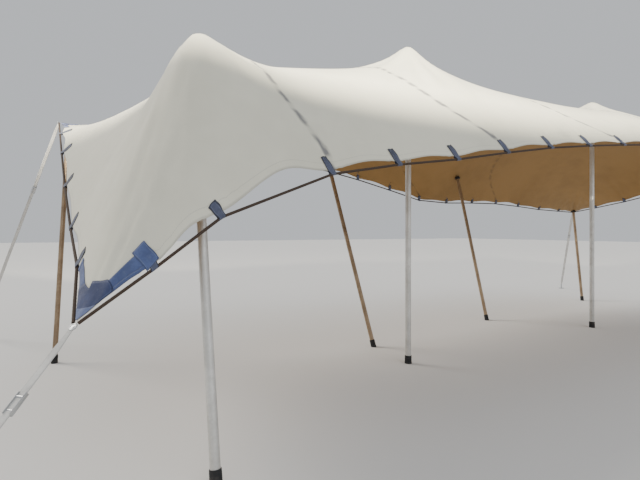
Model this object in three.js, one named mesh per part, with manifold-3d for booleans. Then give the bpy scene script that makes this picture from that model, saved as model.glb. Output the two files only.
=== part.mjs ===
// Stretch-fabric tent: a cream canopy of five sewn panels, drawn up into peaks by three king poles,
// propped near its back edge and its far corners by leaning side poles, pulled down to a low front
// left corner, and laced all round to a dark perimeter rope.
// Millimetres, +Z up, +X along the front edge, +Y from the front edge to the back.
import * as THREE from "three";
import { mergeVertices } from "three/addons/utils/BufferGeometryUtils.js";
import Module from "manifold-3d";

const wasm = await Module();
wasm.setup();

// The rope line round the canopy, each side as [distance along, sideways, height]
const FRONT_EDGE = [
  [0, 0, 997], [405, 27, 1289], [784, 11, 1585], [1650, 204, 1921], [2876, 203, 2120],
  [4102, 203, 2325], [6000, 190, 2520], [8000, 120, 2620], [9500, 0, 2650],
];
const BACK_EDGE = [
  [-450, 3800, 2900], [800, 3660, 2760], [2600, 3640, 2600], [3700, 3640, 2430],
  [4930, 3640, 2154], [5450, 3640, 2040], [6500, 3640, 2054], [7600, 3640, 2050],
  [8240, 3640, 1985], [9750, 3650, 1930],
];
const LEFT_EDGE = [
  [0, 0, 997], [508, -18, 1304], [1102, -99, 1503], [1760, -196, 1870], [2700, -320, 2420],
  [3800, -450, 2900],
];
const RIGHT_EDGE = [
  [0, 9500, 2650], [1200, 9330, 2330], [2400, 9400, 2080], [3650, 9750, 1930],
];

// Where the webbing tabs sit along each side, and the seams between the panels
const TAB_PITCH = 613;
// The first tab of a short side lies this share of the pitch from its corner
const SIDE_TAB_START = 0.7;
const FIRST_TABS = [405, 784, 1650];
const SEAM_X = [1650, 3489, 5328, 7167];
// How far the seams bow towards the left edge, at most, as a share of the width, and how near
// the hems, as a share of the depth, they turn that way
const SEAM_BOW = { most: 0.084, turn: 0.075, power: 1.5 };

// The canopy between its edges climbs towards a crown, which is lower at the back than in front
const CROWN = { front: 4100, back: 3545 };
const EDGE_REACH = { front: 1215, back: 1060, left: 1106, right: 900 };
const PEAK_EDGE_REACH = { front: 150, back: 150, left: 150, right: 150 };
const FABRIC = 5;
// The hem's distance from the rope at a tab, and how much deeper it cuts in between two tabs
const EDGE_INSET = 32;
// How much closer to the rope the hem comes at a corner, and how soon that fades along the hem
const CORNER_HEM = { closer: 12, fade: 250 };
const SCALLOP = 24;
const FRONT_SCALLOPS = [10, 40, 105];
const PANEL_GAP = 0.5;
const GRID_STEP = 215;

// King poles: the peak that the cloth makes over each, how blunt its tip is and how far it spreads
const KING_POLES = [
  { top: [696, 578, 2893], foot: [737, -44], tip: 214, reach: 1069 },
  { top: [3202, 1311, 3590], foot: [3202, 1311], tip: 120, reach: 900 },
  { top: [6900, 1500, 3500], foot: [6900, 1500], tip: 120, reach: 700 },
];
const KING_TUBE = { radius: 32.5, wall: 3 };
const SIDE_TUBE = { radius: 27.5, wall: 2.5 };
// Side poles: name, foot on the ground, and the place on the fabric that the head holds up
const SIDE_POLES = [
  { name: "back_left_pole", foot: [-420, 3060], head: [-330, 3660] },
  { name: "back_middle_pole", foot: [3225, 2050], head: [2860, 2930] },
  { name: "back_right_pole", foot: [5850, 2595], head: [5858, 3284] },
  { name: "far_corner_pole", foot: [9300, 3150], head: [9600, 3540] },
  { name: "front_right_pole", foot: [9050, 500], head: [9360, 110] },
];
const FOOT = { height: 90, floor: 34, flare: 8, lip: 5, buried: 60 };
const HEAD = { radius: 46, plug: 70, skirt: 14, dome: 30, steps: 4, brim: 2 };
const HEAD_GAP = 0.45;
const SLIP = 0.3;
const SIDES = 20;

const ROPE = { radius: 10, sides: 8 };
// The tabs lean from the rope towards each side's first corner, by a share of the way along the sheet
const TAB = { width: 50, thick: 3.4, gap: 0.4, lean: 0.42, onSheet: [46, 70, 104, 140] };
const PLATE = { radius: 24, thick: 12 };
const PATCH = {
  long: { run: 445, width: 130 }, short: { run: 370, width: 75 }, points: 9, thick: 3.5, lift: 1,
};
// The sheet's extra grid lines in from each edge
const EDGE_LINES = [45, 150, 445];
const STRAP = { width: 46, thick: 5 };
const ANCHOR = { radius: 60, plate: 10, post: 14, tie: 100, top: 114 };
// Where each corner's strap meets the ground, out from the corner
const GROUND_ANCHORS = {
  front_left: [-680, -760],
  front_right: [10500, -1000],
  back_right: [10750, 4600],
  back_left: [-1500, 4800],
};

const finish = (color, roughness, metalness) =>
  new THREE.MeshStandardMaterial({ color, roughness, metalness, side: THREE.DoubleSide });
const MATERIALS = {
  fabric: finish(0xddd8cb, 0.85, 0),
  webbing: finish(0x5d6675, 0.8, 0),
  rope: finish(0x24242a, 0.85, 0),
  strap: finish(0xd9d8d3, 0.7, 0),
  aluminium: finish(0xc4c2bb, 0.35, 0.9),
  rubber: finish(0x1d1d1f, 0.9, 0),
  steel: finish(0x9a9da1, 0.35, 0.9),
};

const tent = new THREE.Group();

function addMesh(name, geometry, material) {
  const mesh = new THREE.Mesh(geometry, material);
  mesh.name = name;
  tent.add(mesh);
  return mesh;
}

// Smooth curve through knots [x, a, b]: returns [a, b] at x
function along(knots, x) {
  const lastSpan = knots.length - 2;
  let i = 0;
  while (i < lastSpan && x > knots[i + 1][0]) i++;
  const [start, end] = [knots[i], knots[i + 1]];
  const before = knots[Math.max(i - 1, 0)];
  const after = knots[Math.min(i + 2, knots.length - 1)];
  const span = end[0] - start[0];
  const w = (x - start[0]) / span;
  const w2 = w * w;
  const w3 = w2 * w;
  return [1, 2].map((k) => {
    const startSlope = ((end[k] - before[k]) / (end[0] - before[0])) * span;
    const endSlope = ((after[k] - start[k]) / (after[0] - start[0])) * span;
    return (2 * w3 - 3 * w2 + 1) * start[k] + (w3 - 2 * w2 + w) * startSlope
      + (3 * w2 - 2 * w3) * end[k] + (w3 - w2) * endSlope;
  });
}

const endOf = (knots) => knots[knots.length - 1];
const spanOf = (knots) => endOf(knots)[0] - knots[0][0];
const WIDTH = spanOf(FRONT_EDGE);
const DEPTH = spanOf(RIGHT_EDGE);

// A point on each side's rope line, from 0 to 1 along it
function frontLine(s) {
  const x = FRONT_EDGE[0][0] + s * spanOf(FRONT_EDGE);
  const [y, z] = along(FRONT_EDGE, x);
  return [x, y, z];
}
function backLine(s) {
  const x = BACK_EDGE[0][0] + s * spanOf(BACK_EDGE);
  const [y, z] = along(BACK_EDGE, x);
  return [x, y, z];
}
function leftLine(t) {
  const y = t * spanOf(LEFT_EDGE);
  const [x, z] = along(LEFT_EDGE, y);
  return [x, y, z];
}
function rightLine(t) {
  const y = t * spanOf(RIGHT_EDGE);
  const [x, z] = along(RIGHT_EDGE, y);
  return [x, y, z];
}

// The surface that the four sides alone would span
function spanned(s, t) {
  const [f, k, l, r] = [frontLine(s), backLine(s), leftLine(t), rightLine(t)];
  const [f0, f1, k0, k1] = [frontLine(0), frontLine(1), backLine(0), backLine(1)];
  return [0, 1, 2].map((c) => (1 - t) * f[c] + t * k[c] + (1 - s) * l[c] + s * r[c]
    - (1 - s) * (1 - t) * f0[c] - s * (1 - t) * f1[c] - (1 - s) * t * k0[c] - s * t * k1[c]);
}

function awayFromEdges(s, t, reach) {
  const rise = (distance, length) => 1 - Math.exp(-Math.max(distance, 0) / length);
  return rise(t * DEPTH, reach.front) * rise((1 - t) * DEPTH, reach.back)
    * rise(s * WIDTH, reach.left) * rise((1 - s) * WIDTH, reach.right);
}

// A peak's share of its height at a point of the plan: a pulled tip with a wide skirt
function peakShape(x, y, pole) {
  const away2 = (x - pole.top[0]) ** 2 + (y - pole.top[1]) ** 2;
  const tip2 = pole.tip ** 2;
  const reach2 = pole.reach ** 2;
  return Math.log(1 + reach2 / (away2 + tip2)) / Math.log(1 + reach2 / tip2);
}

const peakRise = KING_POLES.map(() => 0);
function surface(s, t) {
  const [x, y, edgeZ] = spanned(s, t);
  const inward = awayFromEdges(s, t, EDGE_REACH);
  const crown = CROWN.front + (CROWN.back - CROWN.front) * t;
  const peaks = KING_POLES.reduce((sum, pole, i) => sum + peakRise[i] * peakShape(x, y, pole), 0);
  return [x, y, edgeZ + (crown - edgeZ) * inward + peaks * awayFromEdges(s, t, PEAK_EDGE_REACH)];
}

// The place on the sheet, as fractions, above a point of the plan, closed in on step by step
const CLOSING_STEPS = 60;
function placeOf(x, y) {
  let [s, t] = [x / WIDTH, y / DEPTH];
  for (let n = 0; n < CLOSING_STEPS; n++) {
    const p = spanned(s, t);
    s += (x - p[0]) / WIDTH;
    t += (y - p[1]) / DEPTH;
  }
  return [s, t];
}

// Each peak is raised until the sheet reaches its top
const peakPlaces = KING_POLES.map((pole) => placeOf(pole.top[0], pole.top[1]));
for (let n = 0; n < CLOSING_STEPS; n++) {
  KING_POLES.forEach((pole, i) => {
    peakRise[i] += pole.top[2] - surface(...peakPlaces[i])[2];
  });
}

const longTabs = [...FIRST_TABS];
while (longTabs[longTabs.length - 1] < WIDTH - 1.5 * TAB_PITCH) {
  longTabs.push(longTabs[longTabs.length - 1] + TAB_PITCH);
}
const LONG_TAB_S = longTabs.map((x) => x / WIDTH);
const sideTabs = (knots) => {
  const count = Math.round(spanOf(knots) / TAB_PITCH);
  const pitch = 1 / (count - 1 + SIDE_TAB_START);
  return Array.from({ length: count - 1 }, (_, k) => (k + SIDE_TAB_START) * pitch);
};
const LEFT_TAB_T = sideTabs(LEFT_EDGE);
const RIGHT_TAB_T = sideTabs(RIGHT_EDGE);

// How far in over the plan a point lies that is a real distance from where the plan's way starts
const HALVINGS = 22;
function planReach(pointAt, real) {
  const start = pointAt(0);
  let [low, high] = [0, real];
  for (let n = 0; n < HALVINGS; n++) {
    const middle = (low + high) / 2;
    const [x, y, z] = pointAt(middle);
    if (Math.hypot(x - start[0], y - start[1], z - start[2]) < real) low = middle;
    else high = middle;
  }
  return (low + high) / 2;
}

// Each side's tabs, and the place that lies at a plan distance in from a point of its rope line
const EDGES = {
  front: {
    length: WIDTH, tabs: LONG_TAB_S, scallops: FRONT_SCALLOPS, inFrom: (along, d) => [along, d / DEPTH],
  },
  back: { length: WIDTH, tabs: LONG_TAB_S, scallops: [], inFrom: (along, d) => [along, 1 - d / DEPTH] },
  left: { length: DEPTH, tabs: LEFT_TAB_T, scallops: [], inFrom: (along, d) => [d / WIDTH, along] },
  right: { length: DEPTH, tabs: RIGHT_TAB_T, scallops: [], inFrom: (along, d) => [1 - d / WIDTH, along] },
};
const plannedIn = (edge, along, real) => planReach((d) => surface(...edge.inFrom(along, d)), real);

// How far in over the plan the hem lies: least at each tab, most between two
const hemsFound = new Map();
function hemInset(name, fraction) {
  const key = `${name} ${fraction}`;
  if (hemsFound.has(key)) return hemsFound.get(key);
  const edge = EDGES[name];
  const stops = [0, ...edge.tabs, 1];
  let i = 0;
  while (i < stops.length - 2 && fraction > stops[i + 1]) i++;
  const w = Math.min(Math.max((fraction - stops[i]) / (stops[i + 1] - stops[i]), 0), 1);
  const fromCorner = Math.min(fraction, 1 - fraction) * edge.length;
  const gap = EDGE_INSET - CORNER_HEM.closer * Math.exp(-fromCorner / CORNER_HEM.fade);
  const real = gap + (edge.scallops[i] ?? SCALLOP) * Math.sin(Math.PI * w) ** 2;
  hemsFound.set(key, plannedIn(edge, fraction, real));
  return hemsFound.get(key);
}

// How far the threads of the cloth, and so its seams, bow towards the left edge
function seamBow(s, t) {
  const turned = (v) => 1 - Math.exp(-((Math.max(v, 0) / SEAM_BOW.turn) ** SEAM_BOW.power));
  return SEAM_BOW.most * turned(t) * turned(1 - t) * Math.sin(Math.PI * s);
}

// A point of the sheet with the hems taken in: fractions run from hem to hem
function sheetPoint(s, t) {
  const [front, back] = ["front", "back"].map((name) => hemInset(name, s) / DEPTH);
  const [left, right] = ["left", "right"].map((name) => hemInset(name, t) / WIDTH);
  const bowed = s - seamBow(s, t);
  return surface(left + bowed * (1 - left - right), front + t * (1 - front - back));
}

// Grid lines through the stated fractions, with even steps between them
function gridLines(stops, length, step) {
  const rounded = [0, ...stops, 1].map((v) => Math.round(v * 1e6) / 1e6);
  const sorted = [...new Set(rounded)].sort((a, b) => a - b);
  const lines = [sorted[0]];
  for (let i = 1; i < sorted.length; i++) {
    const gap = sorted[i] - sorted[i - 1];
    const parts = Math.max(1, Math.round((gap * length) / step));
    for (let k = 1; k <= parts; k++) lines.push(sorted[i - 1] + (gap * k) / parts);
  }
  return lines;
}

const AROUND_PEAK = [-110, 0, 110];
const SEAM_S = SEAM_X.map((x) => x / WIDTH);
const aroundPeaks = (fractions, length) =>
  fractions.flatMap((v) => AROUND_PEAK.map((d) => v + d / length));
const edgeStops = (length) => EDGE_LINES.flatMap((d) => [d / length, 1 - d / length]);
const S_LINES = gridLines(
  [...SEAM_S, ...aroundPeaks(peakPlaces.map(([s, t]) => s + seamBow(s, t)), WIDTH), ...edgeStops(WIDTH)],
  WIDTH, GRID_STEP,
);
const T_LINES = gridLines(
  [...aroundPeaks(peakPlaces.slice(0, 2).map(([, t]) => t), DEPTH), ...edgeStops(DEPTH)],
  DEPTH, GRID_STEP,
);

// A closed slab between a grid of upper points and the same points let down by its thickness
function slabGeometry(upper, drop) {
  const rows = upper.length;
  const cols = upper[0].length;
  const lower = upper.map((row, i) => row.map((p, j) => drop(p, i, j)));
  const positions = [...upper.flat(), ...lower.flat()].flat();
  const at = (layer, i, j) => layer * rows * cols + i * cols + j;
  const faces = [];
  const quad = (a, b, c, d) => faces.push(a, b, c, a, c, d);
  for (let i = 0; i + 1 < rows; i++) {
    for (let j = 0; j + 1 < cols; j++) {
      quad(at(0, i, j), at(0, i, j + 1), at(0, i + 1, j + 1), at(0, i + 1, j));
      quad(at(1, i, j), at(1, i + 1, j), at(1, i + 1, j + 1), at(1, i, j + 1));
    }
  }
  for (let j = 0; j + 1 < cols; j++) {
    quad(at(0, 0, j), at(1, 0, j), at(1, 0, j + 1), at(0, 0, j + 1));
    quad(at(0, rows - 1, j + 1), at(1, rows - 1, j + 1), at(1, rows - 1, j), at(0, rows - 1, j));
  }
  for (let i = 0; i + 1 < rows; i++) {
    quad(at(0, i + 1, 0), at(1, i + 1, 0), at(1, i, 0), at(0, i, 0));
    quad(at(0, i, cols - 1), at(1, i, cols - 1), at(1, i + 1, cols - 1), at(0, i + 1, cols - 1));
  }
  const geometry = new THREE.BufferGeometry();
  geometry.setAttribute("position", new THREE.Float32BufferAttribute(positions, 3));
  geometry.setIndex(faces);
  return geometry;
}

// Panels, front to back strips between the seams
const panelEnds = [0, ...SEAM_S, 1];
const halfGap = PANEL_GAP / 2 / WIDTH;
const panels = [];
for (let n = 0; n + 1 < panelEnds.length; n++) {
  const left = panelEnds[n] + (n === 0 ? 0 : halfGap);
  const right = panelEnds[n + 1] - (n === panelEnds.length - 2 ? 0 : halfGap);
  const columns = [left, ...S_LINES.filter((s) => s > left + halfGap && s < right - halfGap), right];
  const upper = T_LINES.map((t) => columns.map((s) => sheetPoint(s, t)));
  const geometry = slabGeometry(upper, ([x, y, z]) => [x, y, z - FABRIC]);
  panels.push(addMesh(`canopy_panel_${n + 1}`, geometry, MATERIALS.fabric));
}
tent.updateMatrixWorld(true);

// Heights of the sheet's upper and lower faces at a point of the plan
const ray = new THREE.Raycaster();
const DOWN = new THREE.Vector3(0, 0, -1);
const ABOVE_ALL = 10000;
function sheetHeights(x, y) {
  ray.set(new THREE.Vector3(x, y, ABOVE_ALL), DOWN);
  const hits = ray.intersectObjects(covers, false);
  return hits.length ? [hits[0].point.z, hits[hits.length - 1].point.z] : null;
}

const toSolid = (geometry) => {
  const bare = geometry.clone();
  bare.deleteAttribute("normal");
  bare.deleteAttribute("uv");
  const merged = mergeVertices(bare, 1e-3);
  return new wasm.Manifold(new wasm.Mesh({
    numProp: 3,
    vertProperties: new Float32Array(merged.attributes.position.array),
    triVerts: new Uint32Array(merged.index.array),
  }));
};
const toGeometry = (solid) => {
  const mesh = solid.getMesh();
  const geometry = new THREE.BufferGeometry();
  geometry.setAttribute("position", new THREE.Float32BufferAttribute(mesh.vertProperties, 3));
  geometry.setIndex([...mesh.triVerts]);
  return geometry;
};

// Reinforced corner: two webbing arms along the hems, cut from a layer over the sheet's own grid
const CUT_HEIGHT = 5000;
const BEYOND_HEM = 300;
function addCornerPatch(name, s0, t0) {
  const slack = 1;
  const edge = EDGE_LINES[EDGE_LINES.length - 1];
  const within = (lines, corner, length) =>
    lines.filter((v) => Math.abs(v - corner) * length <= edge + slack);
  const upper = within(T_LINES, t0, DEPTH).map((t) => within(S_LINES, s0, WIDTH).map((s) => {
    const [x, y, z] = sheetPoint(s, t);
    return [x, y, z + PATCH.lift + PATCH.thick];
  }));
  const layer = toSolid(slabGeometry(upper, ([x, y, z]) => [x, y, z - PATCH.thick]));
  const [signS, signT] = [s0 ? -1 : 1, t0 ? -1 : 1];
  const along = {
    long: (a, b) => sheetPoint(s0 + (signS * a) / WIDTH, t0 + (signT * b) / DEPTH),
    short: (a, b) => sheetPoint(s0 + (signS * b) / WIDTH, t0 + (signT * a) / DEPTH),
  };
  const outward = { long: [0, -signT * BEYOND_HEM], short: [-signS * BEYOND_HEM, 0] };
  const arm = (way) => {
    const inner = Array.from({ length: PATCH.points }, (_, k) => {
      const a = (PATCH[way].run * k) / (PATCH.points - 1);
      const point = along[way](a, planReach((b) => along[way](a, b), PATCH[way].width));
      return new THREE.Vector2(point[0], point[1]);
    });
    const outer = inner.map((p) => new THREE.Vector2(p.x + outward[way][0], p.y + outward[way][1]));
    const outline = new THREE.Shape([...inner, ...outer.reverse()]);
    const cutter = new THREE.ExtrudeGeometry(outline, { depth: CUT_HEIGHT, bevelEnabled: false });
    return layer.intersect(toSolid(cutter));
  };
  return addMesh(name, toGeometry(arm("long").add(arm("short"))), MATERIALS.webbing);
}
const patches = [
  addCornerPatch("front_left_corner_patch", 0, 0),
  addCornerPatch("front_right_corner_patch", 1, 0),
  addCornerPatch("back_right_corner_patch", 1, 1),
  addCornerPatch("back_left_corner_patch", 0, 1),
];
const covers = [...panels, ...patches];
tent.updateMatrixWorld(true);

const lathe = (profile, sides) =>
  new THREE.LatheGeometry(profile.map(([r, z]) => new THREE.Vector2(r, z)), sides).rotateX(Math.PI / 2);

// Turns a shape built along +Z from the origin onto a line from one point to another
function laid(geometry, from, to) {
  const axis = new THREE.Vector3().subVectors(to, from).normalize();
  const turn = new THREE.Quaternion().setFromUnitVectors(new THREE.Vector3(0, 0, 1), axis);
  return geometry.applyQuaternion(turn).translate(from.x, from.y, from.z);
}

// Whether a shape, moved to a place, would cut into the sheet
const coverSolids = covers.map((cover) => toSolid(cover.geometry));
function touchesSheet(geometry, at) {
  const moved = toSolid(geometry.clone().translate(at.x, at.y, at.z));
  return coverSolids.some((cover) => cover.intersect(moved).volume() > 0);
}

const GROUND_BLOCK = 600;
const SEATING_STEPS = 6;

// One pole: rubber foot cut flat on the ground, tube, and a domed head under the sheet
function addPole(name, foot, headPlan, tube) {
  const inner = tube.radius - tube.wall;
  const below = sheetHeights(headPlan[0], headPlan[1])[1];
  const from = new THREE.Vector3(foot[0], foot[1], 0);
  const aim = new THREE.Vector3(headPlan[0], headPlan[1], below);
  const axis = new THREE.Vector3().subVectors(aim, from).normalize();
  const dome = [];
  for (let k = 0; k < HEAD.steps; k++) {
    const a = (k / HEAD.steps) * (Math.PI / 2);
    dome.push([HEAD.radius * Math.cos(a), HEAD.dome * Math.sin(a)]);
  }
  const headProfile = [
    [0, -HEAD.skirt - HEAD.plug], [inner - SLIP, -HEAD.skirt - HEAD.plug], [inner - SLIP, -HEAD.skirt],
    [tube.radius + HEAD.brim, -HEAD.skirt], ...dome, [0, HEAD.dome],
  ];
  const head = laid(lathe(headProfile, SIDES), new THREE.Vector3(), axis);
  const spots = head.getAttribute("position");
  let out = aim.distanceTo(from);
  for (let n = 0; n < SEATING_STEPS; n++) {
    let least = Infinity;
    for (let i = 0; i < spots.count; i++) {
      const at = new THREE.Vector3().fromBufferAttribute(spots, i).addScaledVector(axis, out).add(from);
      const heights = sheetHeights(at.x, at.y);
      if (heights) least = Math.min(least, heights[1] - at.z);
    }
    out += (least - HEAD_GAP) * axis.z;
  }
  while (touchesSheet(head, from.clone().addScaledVector(axis, out))) out -= HEAD_GAP;
  const tip = from.clone().addScaledVector(axis, out);
  addMesh(`${name}_head`, head.clone().translate(tip.x, tip.y, tip.z), MATERIALS.rubber);

  const start = from.clone().addScaledVector(axis, FOOT.floor + SLIP);
  const end = tip.clone().addScaledVector(axis, -HEAD.skirt - SLIP);
  const length = end.distanceTo(start);
  const tubeProfile = [
    [inner, 0], [tube.radius, 0], [tube.radius, length], [inner, length], [inner, 0],
  ];
  addMesh(`${name}_tube`, laid(lathe(tubeProfile, SIDES), start, end), MATERIALS.aluminium);

  const grip = tube.radius + SLIP;
  const shoeProfile = [
    [0, -FOOT.buried], [grip + FOOT.flare, -FOOT.buried], [grip + FOOT.lip, FOOT.height],
    [grip, FOOT.height], [grip, FOOT.floor], [0, FOOT.floor],
  ];
  const block = new THREE.BoxGeometry(GROUND_BLOCK, GROUND_BLOCK, GROUND_BLOCK)
    .translate(foot[0], foot[1], GROUND_BLOCK / 2);
  const shoe = toSolid(laid(lathe(shoeProfile, SIDES), from, end)).intersect(toSolid(block));
  addMesh(`${name}_foot`, toGeometry(shoe), MATERIALS.rubber);
}

KING_POLES.forEach((pole, i) => addPole(`king_pole_${i + 1}`, pole.foot, pole.top, KING_TUBE));
SIDE_POLES.forEach((pole) => addPole(pole.name, pole.foot, pole.head, SIDE_TUBE));

// A flat strip swept through points, with its width along the side vector of each
function ribbon(points, sides, width, thick) {
  const rings = points.map((p, i) => {
    const next = points[Math.min(i + 1, points.length - 1)];
    const before = points[Math.max(i - 1, 0)];
    const run = new THREE.Vector3().subVectors(next, before).normalize();
    const side = sides[i].clone().addScaledVector(run, -sides[i].dot(run)).normalize();
    const up = new THREE.Vector3().crossVectors(side, run).normalize();
    return [[1, 1], [-1, 1], [-1, -1], [1, -1]].map(([a, b]) =>
      p.clone().addScaledVector(side, (a * width) / 2).addScaledVector(up, (b * thick) / 2));
  });
  return tubeOf(rings);
}

// A closed body through rings of points
function tubeOf(rings) {
  const n = rings[0].length;
  const positions = rings.flat().flatMap((p) => [p.x, p.y, p.z]);
  const faces = [];
  for (let i = 0; i + 1 < rings.length; i++) {
    for (let k = 0; k < n; k++) {
      const [a, b] = [i * n + k, i * n + ((k + 1) % n)];
      faces.push(a, b, b + n, a, b + n, a + n);
    }
  }
  const far = (rings.length - 1) * n;
  for (let k = 1; k + 1 < n; k++) {
    faces.push(0, k + 1, k, far, far + k, far + k + 1);
  }
  const geometry = new THREE.BufferGeometry();
  geometry.setAttribute("position", new THREE.Float32BufferAttribute(positions, 3));
  geometry.setIndex(faces);
  const solid = toSolid(geometry);
  if (solid.volume() < 0) geometry.index.array.reverse();
  return geometry;
}

function ropeOf(points, radius, sides) {
  const rings = points.map((p, i) => {
    const next = points[Math.min(i + 1, points.length - 1)];
    const before = points[Math.max(i - 1, 0)];
    const run = new THREE.Vector3().subVectors(next, before).normalize();
    const across = new THREE.Vector3(0, 0, 1).cross(run).normalize();
    const up = new THREE.Vector3().crossVectors(run, across);
    return Array.from({ length: sides }, (_, k) => {
      const a = (2 * Math.PI * k) / sides;
      return p.clone()
        .addScaledVector(across, radius * Math.cos(a))
        .addScaledVector(up, radius * Math.sin(a));
    });
  });
  return tubeOf(rings);
}

const vec = ([x, y, z]) => new THREE.Vector3(x, y, z);

// How the sheet climbs inwards from a hem, over a short run each way
const SLOPE_RUN = 6;
function sheetSlope(at, inward) {
  const [further, nearer] = [SLOPE_RUN, -SLOPE_RUN].map((d) =>
    sheetHeights(at.x + inward.x * d, at.y + inward.y * d));
  const here = sheetHeights(at.x, at.y);
  if (further && nearer) return (further[0] - nearer[0]) / (2 * SLOPE_RUN);
  if (further && here) return (further[0] - here[0]) / SLOPE_RUN;
  return 0;
}

// One webbing tab: from the rope up over the hem and on along the sheet, a small gap above it
const TAB_PROBES = { across: [-0.55, -0.25, 0, 0.25, 0.55], inward: [-6, 0, 6] };
const TANGENT_STEP = 0.002;
const WELL_INSIDE = 150;
function tabGeometry(line, edge, place, gap) {
  const side = vec(line(place + TANGENT_STEP)).sub(vec(line(place - TANGENT_STEP))).normalize();
  const rope = vec(line(place));
  const inward = new THREE.Vector3(-side.y, side.x, 0).normalize();
  if (!sheetHeights(rope.x + inward.x * WELL_INSIDE, rope.y + inward.y * WELL_INSIDE)) inward.negate();
  const points = [rope.clone().addScaledVector(inward, -ROPE.radius / 2)];
  for (const real of TAB.onSheet) {
    const aside = TAB.lean * real;
    const at = rope.clone().addScaledVector(side, -aside)
      .addScaledVector(inward, plannedIn(edge, place - aside / edge.length, real));
    const slope = sheetSlope(at, inward);
    let top = -Infinity;
    for (const off of TAB_PROBES.across) {
      for (const step of TAB_PROBES.inward) {
        const spot = at.clone().addScaledVector(side, off * TAB.width).addScaledVector(inward, step);
        const heights = sheetHeights(spot.x, spot.y);
        if (heights) top = Math.max(top, heights[0] - slope * step - side.z * off * TAB.width);
      }
    }
    const lift = (TAB.thick / 2 + gap) * Math.sqrt(1 + slope * slope);
    points.push(new THREE.Vector3(at.x, at.y, top + lift));
  }
  return ribbon(points, points.map(() => side), TAB.width, TAB.thick);
}

// The tab as low on the sheet as it goes without cutting into it
const HERE = new THREE.Vector3();
function clearTab(line, edge, place) {
  let gap = TAB.gap;
  let tab = tabGeometry(line, edge, place, gap);
  while (touchesSheet(tab, HERE)) {
    gap += TAB.gap;
    tab = tabGeometry(line, edge, place, gap);
  }
  return tab;
}

// Perimeter rope of one side with its webbing tabs sewn on
function addEdgeRope(name, line, edge) {
  const points = [0, ...edge.tabs, 1].map((v) => vec(line(v)));
  const far = points.length - 1;
  for (const [end, next] of [[points[0], points[1]], [points[far], points[far - 1]]]) {
    end.lerp(next, (PLATE.radius + SLIP) / end.distanceTo(next));
  }
  let solid = toSolid(ropeOf(points, ROPE.radius, ROPE.sides));
  for (const tab of edge.tabs) solid = solid.add(toSolid(clearTab(line, edge, tab)));
  addMesh(name, toGeometry(solid), MATERIALS.rope);
}

const CORNERS = {
  front_left: [frontLine, 0, leftLine, 0],
  front_right: [frontLine, 1, rightLine, 0],
  back_right: [backLine, 1, rightLine, 1],
  back_left: [backLine, 0, leftLine, 1],
};
addEdgeRope("front_edge_rope", frontLine, EDGES.front);
addEdgeRope("back_edge_rope", backLine, EDGES.back);
addEdgeRope("left_edge_rope", leftLine, EDGES.left);
addEdgeRope("right_edge_rope", rightLine, EDGES.right);

// Steel plate at each corner in the plane of its two ropes, its strap and its ground plate
const CORNER_RUN = 285;
const STRAP_PROBE = 60;
for (const [name, [longLine, s, shortLine, t]] of Object.entries(CORNERS)) {
  const corner = vec(longLine(s));
  const alongLong = vec(longLine(Math.abs(s - CORNER_RUN / WIDTH))).sub(corner);
  const alongShort = vec(shortLine(Math.abs(t - CORNER_RUN / DEPTH))).sub(corner);
  const axis = new THREE.Vector3().crossVectors(alongLong, alongShort).normalize();
  if (axis.z < 0) axis.negate();
  const bottom = corner.clone().addScaledVector(axis, -PLATE.thick / 2);
  const plateProfile = [[0, 0], [PLATE.radius, 0], [PLATE.radius, PLATE.thick], [0, PLATE.thick]];
  const plate = laid(lathe(plateProfile, SIDES), bottom, bottom.clone().add(axis));
  addMesh(`${name}_corner_plate`, plate, MATERIALS.steel);
  const ground = vec([...GROUND_ANCHORS[name], ANCHOR.tie]);
  const stakeProfile = [
    [0, 0], [ANCHOR.radius, 0], [ANCHOR.radius, ANCHOR.plate], [ANCHOR.post, ANCHOR.plate],
    [ANCHOR.post, ANCHOR.top], [0, ANCHOR.top],
  ];
  const stake = lathe(stakeProfile, SIDES).translate(ground.x, ground.y, 0);
  addMesh(`${name}_ground_anchor`, stake, MATERIALS.steel);
  addStrap(`${name}_strap`, corner, toSolid(plate), ground, toSolid(stake));
}

// A taut strap between two solids, stopped short of each by the least step that clears it
function addStrap(name, from, fromSolid, to, toSolidEnd) {
  const run = new THREE.Vector3().subVectors(to, from).normalize();
  const side = new THREE.Vector3(-run.y, run.x, 0).normalize();
  const short = (near, solid, towards) => {
    let d = 0;
    const piece = () => ribbon(
      [near.clone().addScaledVector(towards, d), near.clone().addScaledVector(towards, d + STRAP_PROBE)],
      [side, side], STRAP.width, STRAP.thick,
    );
    while (toSolid(piece()).intersect(solid).volume() > 0) d += SLIP;
    return near.clone().addScaledVector(towards, d + SLIP);
  };
  const start = short(from, fromSolid, run);
  const end = short(to, toSolidEnd, run.clone().negate());
  addMesh(name, ribbon([start, end], [side, side], STRAP.width, STRAP.thick), MATERIALS.strap);
}

// The origin: middle of the plan, on the ground
tent.updateMatrixWorld(true);
const box = new THREE.Box3().setFromObject(tent);
tent.position.set(-(box.min.x + box.max.x) / 2, -(box.min.y + box.max.y) / 2, -box.min.z);

export default tent;
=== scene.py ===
"""Stretch tent: cloth, webbing, rope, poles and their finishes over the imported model.

Metres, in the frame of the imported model: +X along the front edge, +Y to the back, +Z up.
"""

import logging
import math
from dataclasses import dataclass
from enum import Enum
from typing import Callable, Iterable, Mapping, Sequence

import bmesh
import bpy
import numpy as np
from mathutils import Matrix, Vector


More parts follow.
